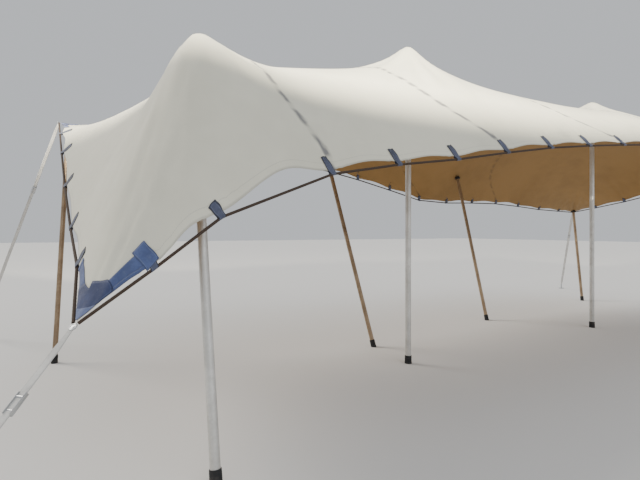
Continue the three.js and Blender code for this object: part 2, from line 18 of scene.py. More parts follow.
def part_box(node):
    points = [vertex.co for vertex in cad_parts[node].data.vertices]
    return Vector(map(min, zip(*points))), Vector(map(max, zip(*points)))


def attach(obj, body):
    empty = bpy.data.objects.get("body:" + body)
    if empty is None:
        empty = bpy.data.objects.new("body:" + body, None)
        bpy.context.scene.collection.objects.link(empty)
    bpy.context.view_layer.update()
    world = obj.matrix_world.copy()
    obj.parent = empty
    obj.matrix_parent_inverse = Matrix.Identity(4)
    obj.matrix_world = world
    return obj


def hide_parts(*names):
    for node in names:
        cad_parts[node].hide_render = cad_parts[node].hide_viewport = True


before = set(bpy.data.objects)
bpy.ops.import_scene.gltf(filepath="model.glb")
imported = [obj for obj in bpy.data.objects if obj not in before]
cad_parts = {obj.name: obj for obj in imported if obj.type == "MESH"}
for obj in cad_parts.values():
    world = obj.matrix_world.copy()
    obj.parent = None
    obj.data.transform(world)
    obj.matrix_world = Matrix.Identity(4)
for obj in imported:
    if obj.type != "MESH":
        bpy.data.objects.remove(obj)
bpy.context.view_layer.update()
log = logging.getLogger("stretch_tent")

Knots = tuple[tuple[float, float, float], ...]
Place = Callable[[float, float], Vector]
Colour = tuple[float, float, float, float]
PHOTO_WIDTH, PHOTO_HEIGHT = 640, 480
SLIP = 0.0003
KING_POLES = {"king_pole_1": (0.737, -0.044), "king_pole_2": (3.202, 1.311), "king_pole_3": (6.9, 1.5)}
SIDE_POLES = {
    "back_left_pole": (-0.42, 3.06), "back_middle_pole": (3.225, 2.05), "back_right_pole": (5.85, 2.595),
    "far_corner_pole": (9.3, 3.15), "front_right_pole": (9.05, 0.5),
}


class Side(Enum):
    """One side of the canopy."""

    FRONT = "front"
    BACK = "back"
    LEFT = "left"
    RIGHT = "right"


class Corner(Enum):
    """One corner of the canopy, with the fractions along front and side where it lies."""

    FRONT_LEFT = ("front_left", 0, 0)
    FRONT_RIGHT = ("front_right", 1, 0)
    BACK_RIGHT = ("back_right", 1, 1)
    BACK_LEFT = ("back_left", 0, 1)

    @property
    def label(self) -> str:
        """The corner's name in the names of its nodes."""
        return self.value[0]

    @property
    def fractions(self) -> tuple[int, int]:
        """Where the corner lies along the front and along the side."""
        return self.value[1], self.value[2]


# Shader node groups


class NodeTree:
    """A node tree with short ways to add nodes and to join them."""

    def __init__(self, tree: bpy.types.NodeTree) -> None:
        """Wraps a node tree."""
        self.tree = tree

    def add(self, kind: str, **values: object) -> bpy.types.Node:
        """Adds a node.

        Args:
            kind: the node's Blender type name.
            **values: its properties, by name.

        Returns:
            The new node.
        """
        node = self.tree.nodes.new(kind)
        for name, value in values.items():
            setattr(node, name, value)
        return node

    def feed(self, socket: bpy.types.NodeSocket, source: object) -> None:
        """Joins a socket to another one, or sets its value.

        Args:
            socket: the input to feed.
            source: an output socket, a number or a colour.
        """
        if isinstance(source, bpy.types.NodeSocket):
            self.tree.links.new(source, socket)
        else:
            socket.default_value = source

    def math(self, operation: str, *sources: object, clamp: bool = False) -> bpy.types.NodeSocket:
        """Adds a Math node.

        Args:
            operation: the node's operation.
            *sources: sockets or numbers.
            clamp: whether its result is kept from 0 to 1.

        Returns:
            Its output.
        """
        node = self.add("ShaderNodeMath", operation=operation, use_clamp=clamp)
        for socket, source in zip(node.inputs, sources):
            self.feed(socket, source)
        return node.outputs[0]

    def mix(self, factor: object, low: object, high: object) -> bpy.types.NodeSocket:
        """Adds a mix of two colours.

        Args:
            factor: the share of the second colour.
            low: the first colour.
            high: the second colour.

        Returns:
            Its output.
        """
        node = self.add("ShaderNodeMix", data_type="RGBA")
        for socket, source in ((node.inputs[0], factor), (node.inputs[6], low), (node.inputs[7], high)):
            self.feed(socket, source)
        return node.outputs[2]

    def span(self, value: object, low: float, high: float) -> bpy.types.NodeSocket:
        """Adds a smooth step from 0 at one value to 1 at another.

        Args:
            value: the socket to step on.
            low: where it is 0.
            high: where it is 1.

        Returns:
            Its output.
        """
        node = self.add("ShaderNodeMapRange", interpolation_type="SMOOTHSTEP")
        for name, source in (("Value", value), ("From Min", low), ("From Max", high)):
            self.feed(node.inputs[name], source)
        return node.outputs[0]

    def noise(self, vector: object, scale: object, detail: float) -> bpy.types.NodeSocket:
        """Adds a noise texture.

        Args:
            vector: the place to read at.
            scale: features a metre.
            detail: how many finer layers it has.

        Returns:
            Its value.
        """
        node = self.add("ShaderNodeTexNoise")
        self.feed(node.inputs["Vector"], vector)
        self.feed(node.inputs["Scale"], scale)
        node.inputs["Detail"].default_value = detail
        return node.outputs[0]

    def attribute(self, name: str) -> bpy.types.NodeSocket:
        """Adds an attribute of the piece's own mesh, and returns its value."""
        return self.add("ShaderNodeAttribute", attribute_name=name).outputs["Fac"]


def shader_group(
    name: str,
    inputs: Sequence[tuple[str, str, object]],
    outputs: Sequence[tuple[str, str]],
    fill: Callable[[NodeTree, bpy.types.Node, bpy.types.Node], None],
) -> bpy.types.NodeTree:
    """Makes a shader node group once, or finds it.

    Args:
        name: the group's name.
        inputs: each input's name, socket type and default value.
        outputs: each output's name and socket type.
        fill: adds the nodes between the group's input and output nodes.

    Returns:
        The group's node tree.
    """
    found = bpy.data.node_groups.get(name)
    if found:
        return found
    group = bpy.data.node_groups.new(name, "ShaderNodeTree")
    for label, kind, value in inputs:
        socket = group.interface.new_socket(label, in_out="INPUT", socket_type=kind)
        if value is not None:
            socket.default_value = value
    for label, kind in outputs:
        group.interface.new_socket(label, in_out="OUTPUT", socket_type=kind)
    tree = NodeTree(group)
    fill(tree, tree.add("NodeGroupInput"), tree.add("NodeGroupOutput"))
    return group


def tone_drift() -> bpy.types.NodeTree:
    """Two close tones that drift over a surface in soft clouds, with finer mottling.

    Returns:
        The group.
    """

    def fill(tree: NodeTree, source: bpy.types.Node, sink: bpy.types.Node) -> None:
        """Adds the nodes of the drift.

        Args:
            tree: the nodes to add to.
            source: the group's input node.
            sink: the group's output node.
        """
        broad = tree.noise(source.outputs["Vector"], source.outputs["Scale"], 2)
        fine_scale = tree.math("MULTIPLY", source.outputs["Scale"], 9.0)
        fine = tree.noise(source.outputs["Vector"], fine_scale, 3)
        both = tree.math("ADD", tree.math("MULTIPLY", broad, 0.7), tree.math("MULTIPLY", fine, 0.3))
        share = tree.math("MULTIPLY", tree.span(both, 0.38, 0.62), source.outputs["Amount"])
        colour = tree.mix(share, source.outputs["Light"], source.outputs["Dark"])
        tree.feed(sink.inputs["Color"], colour)
        tree.feed(sink.inputs["Mask"], share)

    return shader_group(
        "Tone drift",
        (
            ("Vector", "NodeSocketVector", None),
            ("Scale", "NodeSocketFloat", 1.0),
            ("Light", "NodeSocketColor", (0.8, 0.8, 0.8, 1)),
            ("Dark", "NodeSocketColor", (0.6, 0.6, 0.6, 1)),
            ("Amount", "NodeSocketFloat", 1.0),
        ),
        (("Color", "NodeSocketColor"), ("Mask", "NodeSocketFloat")),
        fill,
    )


def thread_weave() -> bpy.types.NodeTree:
    """Crossed threads, as a height from 0 to 1, at a number of threads a metre.

    Returns:
        The group.
    """

    def fill(tree: NodeTree, source: bpy.types.Node, sink: bpy.types.Node) -> None:
        """Adds the nodes of the weave.

        Args:
            tree: the nodes to add to.
            source: the group's input node.
            sink: the group's output node.
        """
        parts = tree.add("ShaderNodeSeparateXYZ")
        tree.feed(parts.inputs[0], source.outputs["Vector"])
        turn = tree.math("MULTIPLY", source.outputs["Threads"], math.tau)
        waves = []
        for axis, across in ((0, 1), (1, 0)):
            thread = tree.math("SINE", tree.math("MULTIPLY", parts.outputs[axis], turn))
            over = tree.math("SINE", tree.math("MULTIPLY", parts.outputs[across], turn))
            waves.append(tree.math("MULTIPLY", tree.math("ABSOLUTE", thread), tree.math("ABSOLUTE", over)))
        height = tree.math("ADD", *waves)
        tree.feed(sink.inputs["Height"], tree.math("MULTIPLY", height, 0.5))

    return shader_group(
        "Thread weave",
        (("Vector", "NodeSocketVector", None), ("Threads", "NodeSocketFloat", 400.0)),
        (("Height", "NodeSocketFloat"),),
        fill,
    )


def stitch_row() -> bpy.types.NodeTree:
    """A dashed line of stitches at a distance from an edge, as a mask.

    Returns:
        The group.
    """

    def fill(tree: NodeTree, source: bpy.types.Node, sink: bpy.types.Node) -> None:
        """Adds the nodes of the stitches.

        Args:
            tree: the nodes to add to.
            source: the group's input node.
            sink: the group's output node.
        """
        gap = tree.math("SUBTRACT", source.outputs["Distance"], source.outputs["Row"])
        away = tree.math("ABSOLUTE", gap)
        line = tree.math("LESS_THAN", away, source.outputs["Half width"])
        step = tree.math("FRACT", tree.math("DIVIDE", source.outputs["Along"], source.outputs["Pitch"]))
        dash = tree.math("LESS_THAN", step, 0.68)
        tree.feed(sink.inputs["Mask"], tree.math("MULTIPLY", line, dash))

    return shader_group(
        "Stitch row",
        (
            ("Distance", "NodeSocketFloat", 0.0),
            ("Along", "NodeSocketFloat", 0.0),
            ("Row", "NodeSocketFloat", 0.006),
            ("Half width", "NodeSocketFloat", 0.0007),
            ("Pitch", "NodeSocketFloat", 0.006),
        ),
        (("Mask", "NodeSocketFloat"),),
        fill,
    )


def weather_marks() -> bpy.types.NodeTree:
    """Sparse smudges of dirt and rub marks, as a mask.

    Returns:
        The group.
    """

    def fill(tree: NodeTree, source: bpy.types.Node, sink: bpy.types.Node) -> None:
        """Adds the nodes of the marks.

        Args:
            tree: the nodes to add to.
            source: the group's input node.
            sink: the group's output node.
        """
        cloud = tree.noise(source.outputs["Vector"], source.outputs["Scale"], 6)
        low = tree.math("SUBTRACT", 1.0, source.outputs["Coverage"])
        high = tree.math("ADD", low, 0.22)
        tree.feed(sink.inputs["Mask"], tree.span(cloud, low, high))

    return shader_group(
        "Weather marks",
        (
            ("Vector", "NodeSocketVector", None),
            ("Scale", "NodeSocketFloat", 3.0),
            ("Coverage", "NodeSocketFloat", 0.4),
        ),
        (("Mask", "NodeSocketFloat"),),
        fill,
    )


class Finish:
    """A finish that makes one material; its nodes come from build()."""

    name: str

    def material(self) -> bpy.types.Material:
        """Makes the finish's material once, or finds it.

        Returns:
            The material.
        """
        found = bpy.data.materials.get(self.name)
        if found:
            return found
        material = bpy.data.materials.new(self.name)
        material.use_nodes = True
        tree = NodeTree(material.node_tree)
        shader = material.node_tree.nodes["Principled BSDF"]
        self.build(tree, shader)
        return material

    def build(self, tree: NodeTree, shader: bpy.types.Node) -> None:
        """Adds the finish's nodes before its shader."""
        raise NotImplementedError

    @staticmethod
    def group(tree: NodeTree, group: bpy.types.NodeTree, **values: object) -> bpy.types.Node:
        """Places a node group, its inputs fed by name with _ for a space.

        Args:
            tree: the nodes to add to.
            group: the group's tree.
            **values: what feeds its inputs.

        Returns:
            The new node.
        """
        node = tree.add("ShaderNodeGroup", node_tree=group)
        for label, value in values.items():
            tree.feed(node.inputs[label.replace("_", " ")], value)
        return node

    @staticmethod
    def bump(
        tree: NodeTree, shader: bpy.types.Node, height: object, distance: float, strength: float,
    ) -> None:
        """Feeds the shader's normal from a height in metres.

        Args:
            tree: the nodes to add to.
            shader: the material's shader.
            height: the height's socket.
            distance: the height that 1 stands for.
            strength: the bump's strength.
        """
        node = tree.add("ShaderNodeBump")
        node.inputs["Distance"].default_value = distance
        node.inputs["Strength"].default_value = strength
        tree.feed(node.inputs["Height"], height)
        tree.feed(shader.inputs["Normal"], node.outputs[0])


@dataclass(frozen=True)
class ClothFinish(Finish):
    """Coated knit cloth with welded seams and a stitched hem."""

    name: str
    light: Colour
    dark: Colour
    seam: Colour
    roughness: float = 0.78
    threads: float = 420.0
    seam_pitch: float = 0.11
    seam_half_width: float = 0.046

    def build(self, tree: NodeTree, shader: bpy.types.Node) -> None:
        """Adds drift, smudges, the seams' grey weld marks, the hem's stitches and the knit.

        Args:
            tree: the nodes to add to.
            shader: the material's shader.
        """
        spot = tree.add("ShaderNodeTexCoord")
        along = tree.add("ShaderNodeSeparateXYZ")
        tree.feed(along.inputs[0], spot.outputs["UV"])
        drift = self.group(
            tree, tone_drift(), Vector=spot.outputs["Object"], Scale=0.55, Light=self.light,
            Dark=self.dark, Amount=0.8,
        )
        smudges = self.group(
            tree, weather_marks(), Vector=spot.outputs["Object"], Scale=1.6, Coverage=0.36,
        ).outputs["Mask"]
        colour = tree.mix(tree.math("MULTIPLY", smudges, 0.22), drift.outputs["Color"], self.seam)

        seam = tree.attribute("seam_distance")
        wander = tree.noise(spot.outputs["UV"], 22.0, 2)
        side = tree.math("ADD", seam, tree.math("MULTIPLY", tree.math("SUBTRACT", wander, 0.5), 0.05))
        weld = tree.math("SUBTRACT", 1.0, tree.span(side, 0.0, self.seam_half_width))
        uneven = tree.math("MULTIPLY", tree.noise(spot.outputs["UV"], 5.0, 1), 1.2)
        pitches = tree.math("DIVIDE", along.outputs["Y"], self.seam_pitch)
        beat = tree.math("FRACT", tree.math("ADD", pitches, uneven))
        from_middle = tree.math("ABSOLUTE", tree.math("SUBTRACT", beat, 0.5))
        blob = tree.math("SUBTRACT", 1.0, tree.span(from_middle, 0.2, 0.42))
        marked = tree.math("MULTIPLY", weld, tree.math("ADD", tree.math("MULTIPLY", blob, 0.72), 0.2))
        colour = tree.mix(marked, colour, self.seam)

        hem = tree.attribute("hem_distance")
        hem_along = tree.attribute("hem_along")
        stitches = self.group(
            tree, stitch_row(), Distance=hem, Along=hem_along, Row=0.022,
            Half_width=0.0011, Pitch=0.009,
        ).outputs["Mask"]
        edge = tree.math("SUBTRACT", 1.0, tree.span(hem, 0.0025, 0.008))
        colour = tree.mix(tree.math("MULTIPLY", stitches, 0.25), colour, self.seam)
        colour = tree.mix(tree.math("MULTIPLY", edge, 0.3), colour, self.seam)
        tree.feed(shader.inputs["Base Color"], colour)

        shader.inputs["Roughness"].default_value = self.roughness
        shader.inputs["Sheen Weight"].default_value = 0.12
        knit = self.group(tree, thread_weave(), Vector=spot.outputs["UV"], Threads=self.threads).outputs[0]
        crease = tree.noise(spot.outputs["UV"], 7.0, 4)
        pucker = tree.math("MULTIPLY", tree.math("MULTIPLY", blob, weld), 1.6)
        height = tree.math("ADD", tree.math("MULTIPLY", knit, 0.12), tree.math("MULTIPLY", crease, 1.6))
        height = tree.math("ADD", height, pucker)
        height = tree.math("SUBTRACT", height, tree.math("MULTIPLY", stitches, 0.25))
        self.bump(tree, shader, height, 0.004, 0.5)


@dataclass(frozen=True)
class WebbingFinish(Finish):
    """Woven webbing or coated cloth with darker selvedges and rows of stitches."""

    name: str
    light: Colour
    dark: Colour
    thread: Colour
    border: float = 0.006
    border_share: float = 0.75
    roughness: float = 0.72
    threads: float = 300.0

    def build(self, tree: NodeTree, shader: bpy.types.Node) -> None:
        """Adds the drift, the selvedge, the stitches and the weave.

        Args:
            tree: the nodes to add to.
            shader: the material's shader.
        """
        spot = tree.add("ShaderNodeTexCoord")
        along = tree.add("ShaderNodeSeparateXYZ")
        tree.feed(along.inputs[0], spot.outputs["UV"])
        colour = self.group(
            tree, tone_drift(), Vector=spot.outputs["Object"], Scale=7.0, Light=self.light,
            Dark=self.dark, Amount=0.6,
        ).outputs["Color"]
        edge = tree.attribute("edge_distance")
        border = tree.math("SUBTRACT", 1.0, tree.span(edge, self.border * 0.7, self.border * 1.3))
        colour = tree.mix(tree.math("MULTIPLY", border, self.border_share), colour, self.dark)
        stitches = self.group(
            tree, stitch_row(), Distance=edge, Along=along.outputs["X"], Row=self.border * 1.6,
            Half_width=0.0008, Pitch=0.0055,
        ).outputs["Mask"]
        colour = tree.mix(tree.math("MULTIPLY", stitches, 0.7), colour, self.thread)
        marks = self.group(
            tree, weather_marks(), Vector=spot.outputs["Object"], Scale=16.0, Coverage=0.42,
        ).outputs["Mask"]
        colour = tree.mix(tree.math("MULTIPLY", marks, 0.25), colour, self.thread)
        tree.feed(shader.inputs["Base Color"], colour)
        shader.inputs["Roughness"].default_value = self.roughness
        shader.inputs["Sheen Weight"].default_value = 0.2
        weave = self.group(tree, thread_weave(), Vector=spot.outputs["UV"], Threads=self.threads).outputs[0]
        self.bump(tree, shader, tree.math("SUBTRACT", weave, stitches), 0.0008, 0.6)


@dataclass(frozen=True)
class RopeFinish(Finish):
    """Braided rope, with painted shade in the grooves between its strands."""

    name: str
    light: Colour
    dark: Colour
    pitch: float = 0.018

    def build(self, tree: NodeTree, shader: bpy.types.Node) -> None:
        """Adds the braid's strands from the rope's own UV: along it in metres, round it in turns. The
        colour is darker where the strands dip, as painted shade in the grooves.

        Args:
            tree: the nodes to add to.
            shader: the material's shader.
        """
        spot = tree.add("ShaderNodeTexCoord")
        parts = tree.add("ShaderNodeSeparateXYZ")
        tree.feed(parts.inputs[0], spot.outputs["UV"])
        turns = tree.math("DIVIDE", parts.outputs["X"], self.pitch)
        around = tree.math("MULTIPLY", parts.outputs["Y"], 6.0)
        waves = [
            tree.math("SINE", tree.math("MULTIPLY", tree.math(way, turns, around), math.pi))
            for way in ("ADD", "SUBTRACT")
        ]
        strands = [tree.math("ABSOLUTE", wave) for wave in waves]
        braid = tree.math("MAXIMUM", *strands)
        # Painted shade: the colour goes dark where the braid's height is low, between the strands.
        colour = tree.mix(tree.span(braid, 0.6, 1.0), self.dark, self.light)
        marks = self.group(
            tree, weather_marks(), Vector=spot.outputs["Object"], Scale=9.0, Coverage=0.45,
        ).outputs["Mask"]
        colour = tree.mix(tree.math("MULTIPLY", marks, 0.4), colour, self.light)
        tree.feed(shader.inputs["Base Color"], colour)
        shader.inputs["Roughness"].default_value = 0.85
        self.bump(tree, shader, braid, 0.0012, 0.9)


@dataclass(frozen=True)
class MetalFinish(Finish):
    """Drawn or galvanised metal with fine scratches and duller patches."""

    name: str
    light: Colour
    dark: Colour
    metallic: float
    smooth: float
    rough: float
    patch_scale: float = 6.0
    grime: Colour = (0.16, 0.13, 0.10, 1)
    grime_height: float = 0.0

    def build(self, tree: NodeTree, shader: bpy.types.Node) -> None:
        """Adds patches, scratches along the height, and grime near the ground.

        Args:
            tree: the nodes to add to.
            shader: the material's shader.
        """
        spot = tree.add("ShaderNodeTexCoord")
        drift = self.group(
            tree, tone_drift(), Vector=spot.outputs["Object"], Scale=self.patch_scale,
            Light=self.light, Dark=self.dark, Amount=0.9,
        )
        colour = drift.outputs["Color"]
        stretch = tree.add("ShaderNodeMapping")
        stretch.inputs["Scale"].default_value = (1, 1, 0.03)
        tree.feed(stretch.inputs["Vector"], spot.outputs["Object"])
        scratch = tree.noise(stretch.outputs[0], 420.0, 4)
        marks = self.group(
            tree, weather_marks(), Vector=spot.outputs["Object"], Scale=14.0, Coverage=0.44,
        ).outputs["Mask"]
        if self.grime_height:
            parts = tree.add("ShaderNodeSeparateXYZ")
            tree.feed(parts.inputs[0], spot.outputs["Object"])
            low = tree.math("SUBTRACT", 1.0, tree.span(parts.outputs["Z"], 0.05, self.grime_height))
            near_ground = tree.math("MULTIPLY", low, 0.4)
            marks = tree.math("ADD", tree.math("MULTIPLY", marks, 0.5), near_ground, clamp=True)
        colour = tree.mix(tree.math("MULTIPLY", marks, 0.35), colour, self.grime)
        tree.feed(shader.inputs["Base Color"], colour)
        shader.inputs["Metallic"].default_value = self.metallic
        spread = tree.math("MULTIPLY", tree.math("ADD", drift.outputs["Mask"], marks), 0.5)
        roughness = tree.add("ShaderNodeMapRange")
        tree.feed(roughness.inputs["Value"], spread)
        roughness.inputs["To Min"].default_value = self.smooth
        roughness.inputs["To Max"].default_value = self.rough
        tree.feed(shader.inputs["Roughness"], roughness.outputs[0])
        self.bump(tree, shader, scratch, 0.0004, 0.35)


@dataclass(frozen=True)
class RubberFinish(Finish):
    """Moulded rubber with a dusty bloom."""

    name: str
    base: Colour
    bloom: Colour

    def build(self, tree: NodeTree, shader: bpy.types.Node) -> None:
        """Adds the bloom and the moulded grain.

        Args:
            tree: the nodes to add to.
            shader: the material's shader.
        """
        spot = tree.add("ShaderNodeTexCoord")
        dust = self.group(
            tree, weather_marks(), Vector=spot.outputs["Object"], Scale=18.0, Coverage=0.48,
        ).outputs["Mask"]
        colour = tree.mix(tree.math("MULTIPLY", dust, 0.4), self.base, self.bloom)
        tree.feed(shader.inputs["Base Color"], colour)
        shader.inputs["Roughness"].default_value = 0.82
        self.bump(tree, shader, tree.noise(spot.outputs["Object"], 900.0, 2), 0.0004, 0.5)


CLOTH_TOP = ClothFinish(
    "cream_cloth", light=(0.81, 0.79, 0.66, 1), dark=(0.73, 0.71, 0.585, 1), seam=(0.19, 0.19, 0.20, 1),
)
# The underside is the cream cloth made darker and tan: painted shade, with a painted warm cast for light
# coming through the cloth.
CLOTH_UNDER_PAINTED_SHADE = ClothFinish(
    "cloth_underside_painted_shade", light=(0.34, 0.195, 0.062, 1), dark=(0.255, 0.145, 0.045, 1),
    seam=(0.22, 0.13, 0.045, 1),
)
CORNER_CLOTH = WebbingFinish(
    "blue_grey_corner_cloth", light=(0.092, 0.135, 0.315, 1), dark=(0.044, 0.066, 0.165, 1),
    thread=(0.24, 0.29, 0.42, 1), border=0.004, border_share=0.55,
)
CORNER_BODY = WebbingFinish(
    "blue_grey_corner_cloth_body", light=(0.042, 0.062, 0.17, 1), dark=(0.018, 0.028, 0.085, 1),
    thread=(0.16, 0.20, 0.32, 1), border=0.004, border_share=0.45,
)
CORNER_TIP = WebbingFinish(
    "blue_grey_corner_cloth_tip", light=(0.14, 0.185, 0.36, 1), dark=(0.085, 0.115, 0.24, 1),
    thread=(0.24, 0.29, 0.42, 1), border=0.004, border_share=0.55,
)
TAB_WEBBING = WebbingFinish(
    "slate_tab_webbing", light=(0.085, 0.10, 0.17, 1), dark=(0.012, 0.014, 0.026, 1),
    thread=(0.24, 0.27, 0.36, 1),
)
STRAP_WEBBING = WebbingFinish(
    "white_strap_webbing", light=(0.74, 0.73, 0.70, 1), dark=(0.52, 0.51, 0.49, 1),
    thread=(0.42, 0.41, 0.39, 1), border=0.004, border_share=0.4,
)
EDGE_ROPE = RopeFinish(
    "black_braided_rope", light=(0.085, 0.055, 0.038, 1), dark=(0.016, 0.011, 0.009, 1),
)
PALE_ALUMINIUM = MetalFinish(
    "pale_aluminium_tube", light=(0.72, 0.71, 0.68, 1), dark=(0.60, 0.59, 0.56, 1), metallic=0.55,
    smooth=0.34, rough=0.55, grime_height=0.55,
)
# Side poles: the same aluminium painted darker and tan. This is painted shade where they stand, plus a
# painted reflection of the brown underside.
ALUMINIUM_PAINTED_SHADE = MetalFinish(
    "aluminium_tube_painted_shade", light=(0.40, 0.29, 0.185, 1), dark=(0.26, 0.18, 0.11, 1), metallic=0.45,
    smooth=0.38, rough=0.6, grime_height=0.4,
)
ZINC = MetalFinish(
    "galvanised_steel", light=(0.22, 0.225, 0.23, 1), dark=(0.13, 0.135, 0.14, 1), metallic=0.85,
    smooth=0.42, rough=0.66, patch_scale=30.0,
)
BLACK_RUBBER = RubberFinish("black_rubber", base=(0.018, 0.018, 0.019, 1), bloom=(0.12, 0.11, 0.10, 1))


# Mesh helpers


def grid_patch(
    bm: bmesh.types.BMesh, us: Sequence[float], vs: Sequence[float], place: Place,
    values: Mapping[str, Callable[[float, float], float]] | None = None,
) -> None:
    """Adds a grid whose lines lie at the stated values, and moves it onto a surface.

    Args:
        bm: the mesh to add to. Its uv layer gets (u, v), its edge_distance layer the way to the rim.
        us: values of the first coordinate, in order.
        vs: values of the second coordinate, in order.
        place: the point of the surface at (u, v).
        values: further layers of the vertices, by name, as functions of (u, v).
    """
    half = 1.0
    columns, rows = len(us) - 1, len(vs) - 1
    uv = bm.loops.layers.uv.verify()
    distance = bm.verts.layers.float.get("edge_distance") or bm.verts.layers.float.new("edge_distance")
    further = [(bm.verts.layers.float.new(name), value) for name, value in (values or {}).items()]
    made = bmesh.ops.create_grid(bm, x_segments=columns, y_segments=rows, size=half)["verts"]
    for vert in made:
        u = us[round((vert.co.x / half + 1) / 2 * columns)]
        v = vs[round((vert.co.y / half + 1) / 2 * rows)]
        vert[distance] = min(u - us[0], us[-1] - u, v - vs[0], vs[-1] - v)
        for layer, value in further:
            vert[layer] = value(u, v)
        for loop in vert.link_loops:
            loop[uv].uv = (u, v)
        vert.co = place(u, v)


def evenly(low: float, high: float, step: float) -> list[float]:
    """Returns values from low to high at about a step apart, ends included."""
    count = max(1, math.ceil((high - low) / step))
    return [low + (high - low) * k / count for k in range(count + 1)]


def lathe(
    bm: bmesh.types.BMesh, profile: Sequence[tuple[float, float]], place: Matrix, steps: int = 40,
) -> None:
    """Spins a profile of (radius, height) into a closed shape, placed by a matrix.

    Args:
        bm: the mesh to add to.
        profile: points from the axis round to the axis, or a closed loop away from it.
        place: turns and moves the shape.
        steps: segments round the axis.
    """
    verts = [bm.verts.new((radius, 0, height)) for radius, height in profile]
    edges = [bm.edges.new(pair) for pair in zip(verts, verts[1:])]
    if profile[0][0] > 0:
        edges.append(bm.edges.new((verts[-1], verts[0])))
    before = set(bm.verts) - set(verts)
    bmesh.ops.spin(
        bm, geom=verts + edges, cent=(0, 0, 0), axis=(0, 0, 1), angle=math.tau, steps=steps, use_merge=True,
    )
    made = [v for v in bm.verts if v not in before]
    bmesh.ops.remove_doubles(bm, verts=made, dist=1e-5)
    made = [v for v in bm.verts if v not in before]
    bmesh.ops.recalc_face_normals(bm, faces=list({f for v in made for f in v.link_faces}))
    bmesh.ops.transform(bm, matrix=place, verts=made)


def finished(
    bm: bmesh.types.BMesh, name: str, finishes: Sequence[Finish],
    stands_for: Sequence[str] = (), sharp: float = 0.6,
) -> bpy.types.Object:
    """Makes an object of a mesh, with its materials and body.

    Args:
        bm: the mesh, which is freed.
        name: the piece's name.
        finishes: its materials in slot order.
        stands_for: the CAD nodes that it replaces.
        sharp: the angle between faces, in radians, above which an edge stays sharp.

    Returns:
        The new object.
    """
    for face in bm.faces:
        face.smooth = True
    for edge in bm.edges:
        if len(edge.link_faces) == 2 and edge.calc_face_angle(0) > sharp:
            edge.smooth = False
    mesh = bpy.data.meshes.new(name)
    bm.to_mesh(mesh)
    bm.free()
    piece = bpy.data.objects.new(name, mesh)
    bpy.context.scene.collection.objects.link(piece)
    for finish in finishes:
        mesh.materials.append(finish.material())
    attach(piece, "root")
    if stands_for:
        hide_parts(*stands_for)
    log.info("%s: %d faces", name, len(mesh.polygons))
    return piece


def thicken(piece: bpy.types.Object, thickness: float, offset: float, under: int = 0) -> None:
    """Gives a sheet its thickness.

    Args:
        piece: the sheet's object.
        thickness: its thickness.
        offset: 0 for both ways, -1 for downwards.
        under: 1 for the lower side's material; the canopy's is a darker tan copy of its cloth that paints
            shade on the underside.
    """
    modifier = piece.modifiers.new("thickness", "SOLIDIFY")
    modifier.thickness = thickness
    modifier.offset = offset
    modifier.material_offset = under


def laid_along(start: Vector, towards: Vector) -> Matrix:
    """Returns the matrix that lays +Z from the origin onto the line from a start towards a point."""
    turn = Vector((0, 0, 1)).rotation_difference(towards - start)
    return Matrix.Translation(start) @ turn.to_matrix().to_4x4()


# The canopy


@dataclass(frozen=True)
class Peak:
    """A peak over a king pole: its top, how blunt its tip is and how far it spreads."""

    top: tuple[float, float, float]
    tip: float
    reach: float


